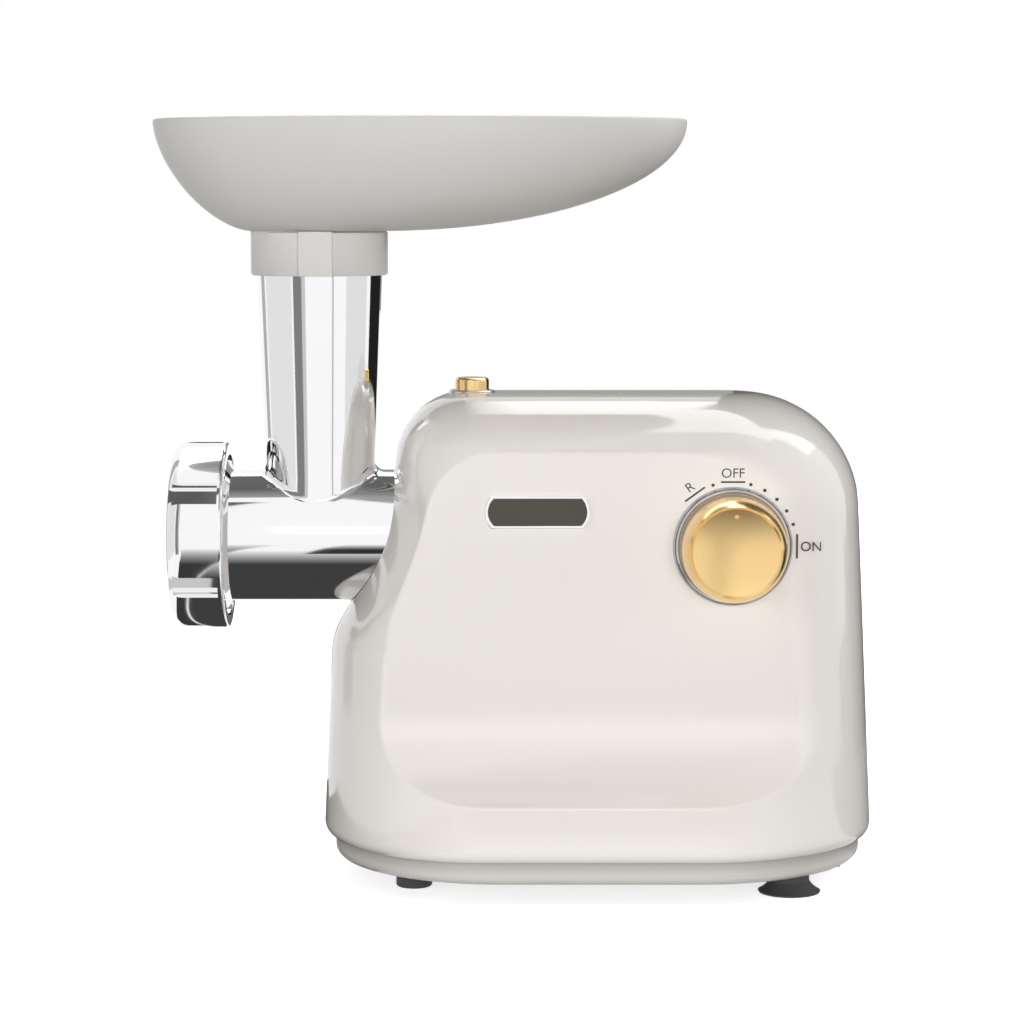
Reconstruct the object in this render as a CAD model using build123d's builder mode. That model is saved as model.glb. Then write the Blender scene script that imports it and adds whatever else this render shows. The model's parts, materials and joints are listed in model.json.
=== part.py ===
"""Electric meat grinder: a moulded motor housing, a polished mincing head and a lift-off tray.

Millimetres. The origin is the middle of the housing's footprint on the worktop, +Z is up,
the mincing head points to -X and the speed knob is on the -Y side.
"""

import os
from math import acos, asin, atan, cos, pi, radians, sin, sqrt, tan

from build123d import *

os.makedirs("parts", exist_ok=True)

# Housing shell
body_half_length = 123.0
body_half_width = 80.0
skirt_z = 30.0
wall_draft = 0.045
rim_z = 18.5
rim_round = 6.0
body_top = 217.5
top_side_round = 60.0
top_rear_round = 50.0
top_front_round = 30.0
shell_wall = 3.0
rim_ledge = 9.0
rim_ledge_height = 7.0

# Sloped front of the housing, under and behind the barrel
slope_start_z = 109.0
slope_run = 0.59
front_hollow_round = 170.0
upper_front_setback = 33.0
front_bow_round = 105.0
skirt_bow = 1.1
skirt_corner_share = 0.9
upper_corner_share = 0.35
corner_blend_height = 43.0
bow_blend_height = 15.0
slope_shares = (0.5, 0.75, 1.0)
dome_angles = (15, 30, 42, 54, 64, 73, 81, 90)

# Scooped side panels
panel_depth = 20.5
scoop_round = 46.0
scoop_start_z = 81.5
panel_reach = 60.0
scoop_sweep = 75.0

# Base cover and feet
base_inset = 4.7
base_z = 8.5
base_floor = 3.0
base_wall = 3.0
base_round = 5.0
vent_length = 46.0
vent_width = 4.0
vent_pitch = 9.0
vent_rows = 7
foot_setback = 41.0
foot_inset = 46.0
foot_radius = 8.0
foot_round = 1.2
cup_setback = 39.6
cup_inset = 34.0
cup_radius = 13.75
cup_stem_radius = 8.8
cup_lip = 2.6
cup_edge = 0.8
cup_bell_radius = 10.4
cup_bell_z = 3.2
cup_neck_z = 5.25
cup_hollow = 2.0
gland_setback = 19.0
gland_length = 12.0
gland_width = 14.0
gland_drop = 6.5
gland_round = 2.2
gland_bore = 3.6
screw_angle = 64.0
screw_margin = 0.2
boss_radius = 5.5
boss_height = 16.0
screw_radius = 2.0
screw_head_radius = 3.8
screw_head = 2.6
screw_bite = 11.0

# Mincing head
head_z = 153.0
barrel_radius = 29.5
barrel_bore = 25.75
barrel_seat = 2.0
barrel_end_wall = 8.0
cup_front_reach = 96.0
cup_shoulder = 5.0
thread_radius = 35.9
mouth_radius = 31.3
mouth_depth = 12.0
cone_length = 5.0
tube_reach = 34.5
tube_foot_radius = 24.5
tube_foot_z = 183.0
tube_flare = 0.0388
tube_top_z = 287.0
tube_bore = 22.0
tube_root_round = 4.0
spigot_radius = 25.0
spigot_depth = 17.0
spigot_bore = 14.0
head_hole_gap = 0.5
key_width = 4.0
key_depth = 2.0

# Ring nut, plate, blade and auger
nut_slack = 0.6
nut_skirt = 3.5
nut_radius = 41.9
nut_lip = 4.2
nut_mouth = 27.5
nut_round = 7.5
nut_back_round = 1.5
nut_lobes = 6
nut_turn = -2.0
nut_flange = 2.5
groove_width = 10.5
groove_step = 7.0
groove_depth = 3.6
groove_step_depth = 1.8
thread_gap = 0.3
face_gap = 0.1
plate_radius = 31.0
plate_thickness = 5.0
plate_bore = 4.0
plate_hole_radius = 3.6
plate_ring_holes = (6, 12)
plate_ring_radii = (12.5, 22.5)
blade_radius = 29.0
blade_thickness = 6.0
blade_arms = 4
blade_arm_width = 13.0
blade_tip_width = 8.0
blade_bevel = 18.0
blade_hub_radius = 11.0
blade_gap = 0.3
pin_square = 9.0
pin_gap = 0.08
auger_radius = 25.0
auger_core_front = 9.5
auger_core_back = 13.0
auger_pitch = 26.0
auger_turns = 2.6
flight_root = 7.0
flight_tip = 3.4
flight_sunk = 2.0
auger_journal = 11.0
tang_square = 12.0
tang_length = 8.5
bush_gap = 0.06

# Tray
tray_rim_z = 338.7
tray_floor_z = 289.3
tray_front_reach = 73.6
tray_rear_reach = 163.7
tray_half_width = 70.0
tray_floor_front = 30.9
tray_floor_rear = 29.7
tray_floor_half_width = 28.0
tray_front_power = 1.6
tray_side_power = 1.8
tray_wall = 2.4
tray_levels = (0.0, 0.2, 0.4, 0.6, 0.78, 0.91, 0.98, 1.0)
collar_radius = 30.5
collar_z = 269.7
collar_gap = 0.3
throat_radius = 23.0
rib_width = 15.0
rib_proud = 1.0

# Gear train
output_module = 1.5
input_module = 1.25
gear_teeth = 42
pinion_teeth = 14
pressure_angle = 25.0
tooth_thinning = 0.14
tooth_tip = 0.92
tooth_root = 1.25
output_gear_depth = 27.0
output_gear_width = 12.0
input_gear_depth = 43.0
input_gear_width = 10.0
pinion_overlap = 1.0
idler_radius = 4.0
output_journal = 10.0
output_shoulder = 1.0
output_tail = 6.0

# Gear case
case_front_depth = 18.0
case_wall = 3.5
case_joint_depth = 57.0
cover_thickness = 4.0
gear_room = 2.0
motor_boss_radius = 24.0
bearing_radius = 16.0
bearing_width = 7.0
small_bush_radius = 7.0
tail_bush_radius = 9.0
small_bush_width = 5.5
boss_wall = 3.0
socket_wall = 5.0
socket_gap = 0.1
ear_radius = 5.5
ear_screw_radius = 2.0
ear_screw_length = 16.0
leg_width = 12.0
leg_spread = 22.0

# Motor
motor_front_depth = 65.0
motor_radius = 32.0
motor_wall = 2.0
motor_face = 3.0
motor_register = 11.0
magnet_thickness = 5.0
magnet_overhang = 5.0
magnet_arc = 130.0
air_gap = 0.6
core_clearance = 10.0
core_slots = 8
core_slot_width = 6.0
core_slot_depth = 9.0
shaft_radius = 4.0
winding_length = 8.0
winding_inner = 9.0
winding_outer = 21.0
winding_round = 2.6
commutator_radius = 11.0
commutator_length = 10.0
brush_width = 7.0
brush_gap = 0.3
end_cap_thickness = 6.0
end_cap_lip = 6.0
end_cap_slots = 4
end_cap_slot_length = 22.0
fan_gap = 5.0
fan_clearance = 5.0
fan_radius = 27.0
fan_width = 10.0
fan_blades = 6
fan_blade_thickness = 2.0
fan_hub_radius = 9.0
cradle_width = 10.0
cradle_half_span = 30.0
cradle_margin = 14.0
board_setback = 27.0
board_thickness = 1.6
board_half_width = 30.0
board_z = 14.0
board_height = 92.0
post_size = 7.0
post_height = 26.0
component_depth = 7.0
heat_sink_rise = 50.0
heat_sink_height = 18.0
capacitor_radius = 4.0
capacitor_rise = 37.0
slot_gap = 0.2

# Speed knob and its switch
knob_setback = 66.5
knob_z = 154.4
knob_radius = 22.7
knob_height = 27.0
knob_shoulder = 12.0
knob_crest = 19.6
knob_dish = 2.6
knob_dish_mid = 9.5
knob_dish_mid_depth = 2.1
knob_web = 3.0
knob_rim = 1.0
knob_skirt = 1.0
knob_hollow = 17.5
knob_hub_radius = 6.5
knob_mark_radius = 1.2
knob_mark_inset = 3.3
bezel_radius = 25.8
bezel_thickness = 3.4
bezel_well = 1.6
bezel_edge = 1.0
knob_gap = 0.4
stem_radius = 3.0
switch_neck_radius = 4.75
switch_size = 28.0
switch_depth = 15.0
switch_corner = 2.8
switch_nut_radius = 7.0
switch_nut_thickness = 2.2

# Head release button
button_setback = 33.5
button_radius = 7.6
button_top_z = 224.0
button_travel = 4.0
button_collar_radius = 10.3
button_collar_top = 218.4
button_collar_lip = 1.6
button_gap = 0.4
button_stem_radius = 4.0
slide_depth = 8.0
slide_thickness = 3.0
slide_rail = 7.0
slide_gap = 0.6
slide_arm_z = 197.0
slide_arm_half_width = 8.0
tooth_height = 3.5
tooth_half_width = 6.0
spring_radius = 3.6
spring_wire = 0.6
spring_turns = 4
spring_height = 14.0
ledge_thickness = 3.0

# Badge plate, left bare
badge_setback = 62.4
badge_z = 169.2
badge_length = 45.2
badge_height = 14.3
badge_border = 2.2
badge_thickness = 1.4
badge_edge_round = 0.55
badge_plate_thickness = 0.8

# Places worked out from the sizes above
upper_front_x = upper_front_setback - body_half_length
barrel_back_x = upper_front_x + barrel_seat
cup_front_x = upper_front_x - cup_front_reach
cup_back_x = cup_front_x + mouth_depth + cup_shoulder
tube_x = upper_front_x - tube_reach
spigot_back_x = upper_front_x + spigot_depth
nut_front_x = cup_front_x - nut_slack - nut_lip
nut_back_x = cup_back_x + nut_skirt
tray_front_x = tube_x - tray_front_reach
tray_rear_x = tube_x + tray_rear_reach
tray_front_run = tray_front_reach - tray_floor_front
tray_rear_run = tray_rear_reach - tray_floor_rear
tray_side_run = tray_half_width - tray_floor_half_width
output_gear_x = upper_front_x + output_gear_depth
input_gear_x = upper_front_x + input_gear_depth
case_front_x = upper_front_x + case_front_depth
case_joint_x = upper_front_x + case_joint_depth
motor_front_x = upper_front_x + motor_front_depth
button_x = upper_front_x + button_setback
slide_x = upper_front_x + slide_depth
badge_x = upper_front_x + badge_setback
base_half_length = body_half_length - base_inset
base_half_width = body_half_width - base_inset
base_top = rim_z
floor_z = base_z + base_floor
foot_x = foot_setback - body_half_length
foot_y = body_half_width - foot_inset
cup_x = body_half_length - cup_setback
cup_y = body_half_width - cup_inset
gland_x = body_half_length - gland_setback
screw_reach = base_half_width - base_round - screw_head_radius - screw_margin
screw_x = body_half_length - body_half_width + screw_reach * cos(radians(screw_angle))
screw_y = screw_reach * sin(radians(screw_angle))
screw_places = [(x, y) for x in (-screw_x, screw_x) for y in (-screw_y, screw_y)]
slope_angle = atan(slope_run)
slope_top_x = -body_half_length + wall_draft * (slope_start_z - skirt_z)
slope_corner_z = slope_start_z + (upper_front_x - slope_top_x) / slope_run
hollow_reach = front_hollow_round * tan(slope_angle / 2)
hollow_start_z = slope_corner_z - hollow_reach * cos(slope_angle)
hollow_end_z = slope_corner_z + hollow_reach
dome_z = body_top - top_side_round
upper_levels = [slope_start_z, slope_start_z + bow_blend_height / 2, slope_start_z + bow_blend_height]
upper_levels += [slope_start_z + share * (dome_z - slope_start_z) for share in slope_shares]
upper_levels += [dome_z + top_side_round * sin(radians(angle)) for angle in dome_angles]
head_axis = Axis((0, 0, head_z), (1, 0, 0))
idler_z = head_z - output_module * (gear_teeth + pinion_teeth) / 2
motor_z = idler_z - input_module * (gear_teeth + pinion_teeth) / 2
plate_front_x = nut_front_x + nut_lip + face_gap
plate_back_x = plate_front_x + plate_thickness
blade_front_x = plate_back_x + blade_gap
blade_back_x = blade_front_x + blade_thickness
pin_length = plate_thickness - blade_gap
barrel_end_x = barrel_back_x - barrel_end_wall
auger_back_x = barrel_end_x - blade_gap
flight_front_x = blade_back_x + flight_root / 2
flight_sunk_radius = auger_core_front - flight_sunk
flight_reach = auger_radius - flight_sunk_radius
collar_bore = tube_foot_radius + tube_flare * (tube_top_z - tube_foot_z) + collar_gap
socket_front_x = slide_x + slide_thickness + slide_gap
socket_radius = spigot_radius + socket_wall
output_hub = output_journal - output_shoulder
cover_back_x = case_joint_x + cover_thickness
bush_seats = (
    (case_front_x, small_bush_radius, idler_radius, idler_z),
    (cover_back_x - small_bush_width, small_bush_radius, idler_radius, idler_z),
    (cover_back_x - small_bush_width, tail_bush_radius, output_tail, head_z),
)
board_x = body_half_length - board_setback
fan_x = board_x - fan_clearance - fan_width
cap_back_x = fan_x - fan_gap
motor_back_x = cap_back_x - end_cap_thickness
magnet_radius = motor_radius - motor_wall
core_radius = magnet_radius - magnet_thickness - air_gap
core_x = motor_front_x + motor_face + core_clearance + winding_length
commutator_x = motor_back_x - end_cap_lip - commutator_length
core_length = commutator_x - winding_length - core_x
magnet_length = core_length + 2 * magnet_overhang
panel_y = body_half_width - panel_depth
panel_inner_y = panel_y - shell_wall
bezel_front_y = -panel_y - bezel_thickness
knob_x = body_half_length - knob_setback
knob_front_y = -panel_y - knob_height
knob_axis = Axis((knob_x, 0, knob_z), (0, 1, 0))
knob_back_y = bezel_front_y + bezel_well - knob_gap
knob_web_y = knob_front_y + knob_dish + knob_web
knob_hub_y = knob_back_y - knob_gap
knob_dish_edge = knob_crest - knob_rim
switch_neck_front_y = -panel_y - switch_nut_thickness
collar_seat_z = body_top - shell_wall / 2
collar_foot_z = body_top - shell_wall - button_travel
collar_sleeve_radius = button_collar_radius - button_collar_lip
slide_half_width = spigot_radius + slide_gap + slide_rail
slide_bottom_z = head_z - spigot_radius - slide_gap - slide_rail
slide_arm_top = slide_arm_z + slide_thickness
spring_rise = spring_height - 2 * spring_wire
ledge_z = slide_bottom_z - spring_height
case_top_radius = output_module * (gear_teeth / 2 + 1) + gear_room + case_wall
case_mid_radius = input_module * (gear_teeth / 2 + 1) + gear_room + case_wall
ear_offset = (case_top_radius + ear_radius / 2) / sqrt(2)
ear_places = [(side * ear_offset, head_z + ear_offset) for side in (-1, 1)]
ear_places += [(side * (motor_boss_radius + ear_radius / 2), motor_z) for side in (-1, 1)]


def tube_radius(z):
    """Outside radius of the feed tube, which flares upwards."""
    return tube_foot_radius + tube_flare * (z - tube_foot_z)


def round_recess(z, radius):
    """How far a top edge rounding of this radius has drawn in at height z."""
    rise = min(max(z - (body_top - radius), 0.0), radius)
    return radius - sqrt(radius**2 - rise**2)


def front_x(z):
    """Nose of the housing at height z: drafted skirt, slope, hollow, then the top rounding."""
    if z <= slope_start_z:
        return -body_half_length + wall_draft * (z - skirt_z)
    if z <= hollow_start_z:
        return upper_front_x - slope_run * (slope_corner_z - z)
    drop = max(hollow_end_z - z, 0.0)
    hollow = front_hollow_round - sqrt(front_hollow_round**2 - drop**2)
    return upper_front_x - hollow + round_recess(z, top_front_round)


def body_outline(z, inset=0.0):
    """Plan of the housing at height z: round rear, straight sides and a bowed nose."""
    level = min(z + inset, body_top)
    draft = wall_draft * (level - skirt_z)
    half = body_half_width - draft - round_recess(level, top_side_round) - inset
    rear = body_half_length - draft - round_recess(level, top_rear_round) - inset - half
    nose = front_x(level) + inset
    bow_share = min(max(level - slope_start_z, 0.0) / bow_blend_height, 1.0)
    corner_share = min(max(level - slope_start_z, 0.0) / corner_blend_height, 1.0)
    bow = skirt_bow * half + bow_share * (front_bow_round - skirt_bow * half)
    corner = half * (skirt_corner_share + corner_share * (upper_corner_share - skirt_corner_share))
    turn = asin((half - corner) / (bow - corner))
    corner_x = nose + bow - (bow - corner) * cos(turn)
    bend = (turn + pi / 2) / 2
    bend_x = corner_x - corner * cos(bend)
    bend_y = half - corner + corner * sin(bend)
    touch_x = nose + bow - bow * cos(turn)
    touch_y = bow * sin(turn)
    with BuildSketch(Plane.XY.offset(z)) as outline:
        with BuildLine():
            ThreePointArc((rear, -half), (rear + half, 0), (rear, half))
            Line((rear, half), (corner_x, half))
            ThreePointArc((corner_x, half), (bend_x, bend_y), (touch_x, touch_y))
            ThreePointArc((touch_x, touch_y), (nose, 0), (touch_x, -touch_y))
            ThreePointArc((touch_x, -touch_y), (bend_x, -bend_y), (corner_x, -half))
            Line((corner_x, -half), (rear, -half))
        make_face()
    return outline.sketch


def body_loft(bottom, inset=0.0):
    """Housing form drawn in by an inset: a drafted skirt, then the sloped and domed upper part."""
    loft([body_outline(z, inset) for z in (bottom, slope_start_z - inset)], ruled=True)
    loft([body_outline(level - inset, inset) for level in upper_levels])


def cut_side_panels(inset=0.0):
    """Cuts an upright panel into both sides, scooped out to meet the skirt below."""
    face_y = panel_y - inset
    radius = scoop_round + inset
    outer_y = body_half_width + panel_reach
    top_z = body_top + panel_reach
    for side in (1, -1):
        centre = Vector(side * (panel_y + scoop_round), scoop_start_z)
        half_turn = radians(scoop_sweep / 2)
        mid = centre - Vector(side * radius * cos(half_turn), radius * sin(half_turn))
        end = centre - Vector(side * radius * cos(2 * half_turn), radius * sin(2 * half_turn))
        with BuildSketch(Plane.YZ.offset(-body_half_length - panel_reach)) as recess:
            with BuildLine():
                ThreePointArc((side * face_y, scoop_start_z), mid, end)
                Polyline(end, (side * outer_y, end.Y), (side * outer_y, top_z),
                         (side * face_y, top_z), (side * face_y, scoop_start_z))
            make_face()
        extrude(recess.sketch, amount=2 * (body_half_length + panel_reach), mode=Mode.SUBTRACT)


def rod_x(start, end, radius, y=0.0, z=0.0, mode=Mode.ADD):
    """Round rod along X between two stations."""
    with BuildSketch(Plane.YZ.offset(start)) as section:
        with Locations((y, z)):
            Circle(radius)
    extrude(section.sketch, amount=end - start, mode=mode)


def rod_y(start, end, radius, x=0.0, z=0.0, mode=Mode.ADD):
    """Round rod along Y between two stations."""
    with BuildSketch(Plane.XZ.offset(-start)) as section:
        with Locations((x, z)):
            Circle(radius)
    extrude(section.sketch, amount=start - end, mode=mode)


def rod_z(start, end, radius, x=0.0, y=0.0, mode=Mode.ADD):
    """Round rod along Z between two heights."""
    with BuildSketch(Plane.XY.offset(start)) as section:
        with Locations((x, y)):
            Circle(radius)
    extrude(section.sketch, amount=end - start, mode=mode)


def block(low, high, mode=Mode.ADD):
    """Square block between two opposite corners."""
    with BuildSketch(Plane.XY.offset(low[2])) as section:
        with Locations(((low[0] + high[0]) / 2, (low[1] + high[1]) / 2)):
            Rectangle(high[0] - low[0], high[1] - low[1])
    extrude(section.sketch, amount=high[2] - low[2], mode=mode)


def spur_gear(start, width, teeth, module, bore, z, tooth_turn):
    """Spur gear across X, its involute flanks drawn as two chords each, with a tooth at tooth_turn."""
    pitch = module * teeth / 2
    base = pitch * cos(radians(pressure_angle))
    tip = pitch + tooth_tip * module
    root = pitch - tooth_root * module

    def half_tooth(radius):
        lean = acos(base / max(radius, base))
        spread = tan(radians(pressure_angle)) - radians(pressure_angle) - tan(lean) + lean
        return pi / (2 * teeth) - tooth_thinning / pitch + spread

    points = []
    for tooth in range(teeth):
        centre = radians(tooth_turn) + 2 * pi * tooth / teeth
        for radius, side in ((root, -1), (pitch, -1), (tip, -1), (tip, 1), (pitch, 1), (root, 1)):
            angle = centre + side * half_tooth(radius)
            points.append((radius * cos(angle), z + radius * sin(angle)))
    with BuildSketch(Plane.YZ.offset(start)) as section:
        with BuildLine():
            Polyline(*points, close=True)
        make_face()
        with Locations((0, z)):
            Circle(bore, mode=Mode.SUBTRACT)
    extrude(section.sketch, amount=width)


def write(piece, label):
    """Labels a finished piece and writes its file."""
    piece.part.label = label
    export_step(piece.part, f"parts/{label}.step")


# Housing: lofted shell with scooped side panels, open underneath
with BuildPart() as cavity:
    body_loft(rim_z + rim_ledge_height, shell_wall)
    cut_side_panels(shell_wall)
    extrude(body_outline(rim_z, shell_wall + rim_ledge), amount=rim_ledge_height)

with BuildPart() as main_housing:
    body_loft(rim_z)
    fillet(main_housing.edges().group_by(Axis.Z)[0], radius=rim_round)
    cut_side_panels()
    add(cavity.part, mode=Mode.SUBTRACT)
    for x, y in screw_places:
        rod_z(rim_z, rim_z + boss_height, boss_radius, x, y)
        rod_z(rim_z, rim_z + screw_bite, screw_radius, x, y, Mode.SUBTRACT)
    rod_x(-body_half_length, slide_x - slide_gap, barrel_radius + head_hole_gap, 0, head_z, Mode.SUBTRACT)
    rod_y(-panel_y, -panel_inner_y, switch_neck_radius + slot_gap, knob_x, knob_z, Mode.SUBTRACT)
    rod_z(collar_seat_z, body_top + shell_wall, button_collar_radius, button_x, 0, Mode.SUBTRACT)
    rod_z(collar_foot_z, collar_seat_z, collar_sleeve_radius, button_x, 0, Mode.SUBTRACT)
write(main_housing, "main_housing")

# Base cover: a shallow pan with vents, screw pillars and slotted posts for the board
with BuildPart() as base_cover:
    with BuildSketch(Plane.XY.offset(base_z)):
        SlotOverall(2 * base_half_length, 2 * base_half_width)
    extrude(amount=base_top - base_z)
    fillet(base_cover.faces().sort_by(Axis.Z)[0].edges(), radius=base_round)
    with BuildSketch(Plane.XY.offset(floor_z)):
        SlotOverall(2 * (base_half_length - base_wall), 2 * (base_half_width - base_wall))
    extrude(amount=base_top - floor_z, mode=Mode.SUBTRACT)
    with BuildSketch(Plane.XY.offset(base_z)):
        with GridLocations(vent_pitch, 0, vent_rows, 1):
            SlotOverall(vent_length, vent_width, rotation=90)
    extrude(amount=base_floor, mode=Mode.SUBTRACT)
    for x, y in screw_places:
        rod_z(floor_z, base_top, boss_radius, x, y)
        rod_z(base_z, base_top, screw_radius + bush_gap, x, y, Mode.SUBTRACT)
        rod_z(base_z, base_z + screw_head + bush_gap, screw_head_radius + bush_gap, x, y, Mode.SUBTRACT)
    for side in (1, -1):
        inner_y = side * (board_half_width - post_size / 2)
        outer_y = side * (board_half_width + post_size / 2)
        block((board_x - post_size / 2, min(inner_y, outer_y), floor_z),
              (board_x + board_thickness + post_size / 2, max(inner_y, outer_y), floor_z + post_height))
    block((board_x - slot_gap, -board_half_width - slot_gap, board_z),
          (board_x + board_thickness + slot_gap, board_half_width + slot_gap, floor_z + post_height),
          Mode.SUBTRACT)
write(base_cover, "base_cover")

with BuildPart() as base_screws:
    for x, y in screw_places:
        rod_z(base_z, base_z + screw_head, screw_head_radius, x, y)
        rod_z(base_z + screw_head, rim_z + screw_bite, screw_radius, x, y)
write(base_screws, "base_screws")

# Feet: plain rubber pucks under the head, suction cups at the rear
with BuildPart() as front_feet:
    for side in (1, -1):
        rod_z(0, base_z, foot_radius, foot_x, side * foot_y)
    fillet(front_feet.faces().group_by(Axis.Z)[0].edges(), radius=foot_round)
write(front_feet, "front_feet")

with BuildPart() as rear_suction_feet:
    for side in (1, -1):
        foot = Plane((cup_x, side * cup_y, 0), x_dir=(1, 0, 0), z_dir=(0, -1, 0))
        with BuildSketch(foot):
            with BuildLine():
                Polyline((0, cup_hollow), (cup_radius - 2 * cup_lip, 0), (cup_radius - cup_edge / 2, 0),
                         (cup_radius, cup_edge))
                ThreePointArc((cup_radius, cup_edge), (cup_bell_radius, cup_bell_z),
                              (cup_stem_radius, cup_neck_z))
                Polyline((cup_stem_radius, cup_neck_z), (cup_stem_radius, base_z), (0, base_z),
                         (0, cup_hollow))
            make_face()
        revolve(axis=Axis((cup_x, side * cup_y, 0), (0, 0, 1)))
write(rear_suction_feet, "rear_suction_feet")

with BuildPart() as cord_gland:
    block((gland_x - gland_length / 2, -gland_width / 2, base_z - gland_drop),
          (gland_x + gland_length / 2, gland_width / 2, base_z))
    fillet(cord_gland.edges().filter_by(Axis.X).group_by(Axis.Z)[0], radius=gland_round)
    rod_x(gland_x - gland_length / 2, gland_x + gland_length / 2, gland_bore / 2, 0,
          base_z - gland_drop / 2, Mode.SUBTRACT)
write(cord_gland, "cord_gland")

# Mincing head: one casting with barrel, flared feed tube, threaded mouth and rear spigot
with BuildPart() as grinder_head:
    with BuildSketch(Plane.XZ):
        with BuildLine():
            Polyline((cup_front_x, head_z), (cup_front_x, head_z + thread_radius),
                     (cup_back_x, head_z + thread_radius), (cup_back_x + cone_length, head_z + barrel_radius),
                     (barrel_back_x, head_z + barrel_radius), (barrel_back_x, head_z + spigot_radius),
                     (spigot_back_x, head_z + spigot_radius), (spigot_back_x, head_z), close=True)
        make_face()
    revolve(axis=head_axis)
    with BuildSketch(Plane.XY.offset(head_z)):
        with Locations((tube_x, 0)):
            Circle(tube_radius(head_z))
    with BuildSketch(Plane.XY.offset(tube_top_z)):
        with Locations((tube_x, 0)):
            Circle(tube_radius(tube_top_z))
    loft(ruled=True)
    saddle = grinder_head.edges().filter_by(lambda e: e.geom_type not in (GeomType.CIRCLE, GeomType.LINE))
    fillet(saddle, radius=tube_root_round)
    rod_x(cup_front_x, cup_front_x + mouth_depth, mouth_radius, 0, head_z, Mode.SUBTRACT)
    rod_x(cup_front_x, barrel_end_x, barrel_bore, 0, head_z, Mode.SUBTRACT)
    rod_x(barrel_end_x, spigot_back_x, spigot_bore, 0, head_z, Mode.SUBTRACT)
    rod_z(head_z, tube_top_z, tube_bore, tube_x, 0, Mode.SUBTRACT)
    block((cup_front_x, -key_width / 2, head_z + mouth_radius - key_depth),
          (plate_back_x, key_width / 2, head_z + mouth_radius + key_depth))
    block((slide_x - slide_gap, -tooth_half_width - slide_gap, head_z - spigot_radius),
          (slide_x + slide_thickness + slide_gap, tooth_half_width + slide_gap,
           head_z - spigot_radius + tooth_height + slide_gap), Mode.SUBTRACT)
write(grinder_head, "grinder_head")

with BuildPart() as rear_bush:
    rod_x(barrel_end_x, spigot_back_x, spigot_bore, 0, head_z)
    rod_x(barrel_end_x, spigot_back_x, auger_journal + bush_gap, 0, head_z, Mode.SUBTRACT)
write(rear_bush, "rear_bush")

# Ring nut: six broad lobes with stepped grooves between them
with BuildPart() as ring_nut:
    rod_x(nut_front_x, nut_back_x, nut_radius, 0, head_z)
    fillet(ring_nut.edges().filter_by(GeomType.CIRCLE).group_by(Axis.X)[0], radius=nut_round)
    fillet(ring_nut.edges().filter_by(GeomType.CIRCLE).group_by(Axis.X)[-1], radius=nut_back_round)
    for lobe in range(nut_lobes):
        angle = 180 + nut_turn + (lobe + 0.5) * 360 / nut_lobes
        with BuildSketch(Plane.YZ.offset(nut_front_x)):
            with Locations(Location((0, head_z), angle)):
                with Locations((nut_radius, 0)):
                    Rectangle(2 * groove_step_depth, groove_width)
                    Rectangle(2 * groove_depth, groove_step)
        extrude(amount=nut_back_x - nut_flange - nut_front_x, mode=Mode.SUBTRACT)
    rod_x(nut_front_x, nut_front_x + nut_lip, nut_mouth, 0, head_z, Mode.SUBTRACT)
    rod_x(nut_front_x + nut_lip, nut_back_x, thread_radius + thread_gap, 0, head_z, Mode.SUBTRACT)
write(ring_nut, "ring_nut")

with BuildPart() as grinding_plate:
    rod_x(plate_front_x, plate_back_x, plate_radius, 0, head_z)
    rod_x(plate_front_x, plate_back_x, plate_bore, 0, head_z, Mode.SUBTRACT)
    for count, ring_radius in zip(plate_ring_holes, plate_ring_radii):
        with BuildSketch(Plane.YZ.offset(plate_front_x)):
            with Locations((0, head_z)):
                with PolarLocations(ring_radius, count):
                    Circle(plate_hole_radius)
        extrude(amount=plate_thickness, mode=Mode.SUBTRACT)
    block((plate_front_x, -key_width / 2 - slot_gap, head_z + mouth_radius - key_depth - slot_gap),
          (plate_back_x, key_width / 2 + slot_gap, head_z + mouth_radius), Mode.SUBTRACT)
write(grinding_plate, "grinding_plate")

# Cross blade: four bevelled arms on a square eye
with BuildPart() as cross_blade:
    rod_x(blade_front_x, blade_back_x, blade_hub_radius, 0, head_z)
    for arm in range(blade_arms):
        angle = 2 * pi * arm / blade_arms
        arm_plane = Plane((blade_front_x, 0, head_z), x_dir=(0, cos(angle), sin(angle)), z_dir=(1, 0, 0))
        with BuildSketch(arm_plane):
            with BuildLine():
                Polyline((0, -blade_arm_width / 2), (blade_radius, -blade_tip_width / 2),
                         (blade_radius, blade_tip_width / 2), (0, blade_arm_width / 2), close=True)
            make_face()
        extrude(amount=blade_thickness, taper=blade_bevel)
    with BuildSketch(Plane.YZ.offset(blade_front_x)):
        with Locations((0, head_z)):
            Rectangle(pin_square + 2 * pin_gap, pin_square + 2 * pin_gap)
    extrude(amount=blade_thickness, mode=Mode.SUBTRACT)
write(cross_blade, "cross_blade")

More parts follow.
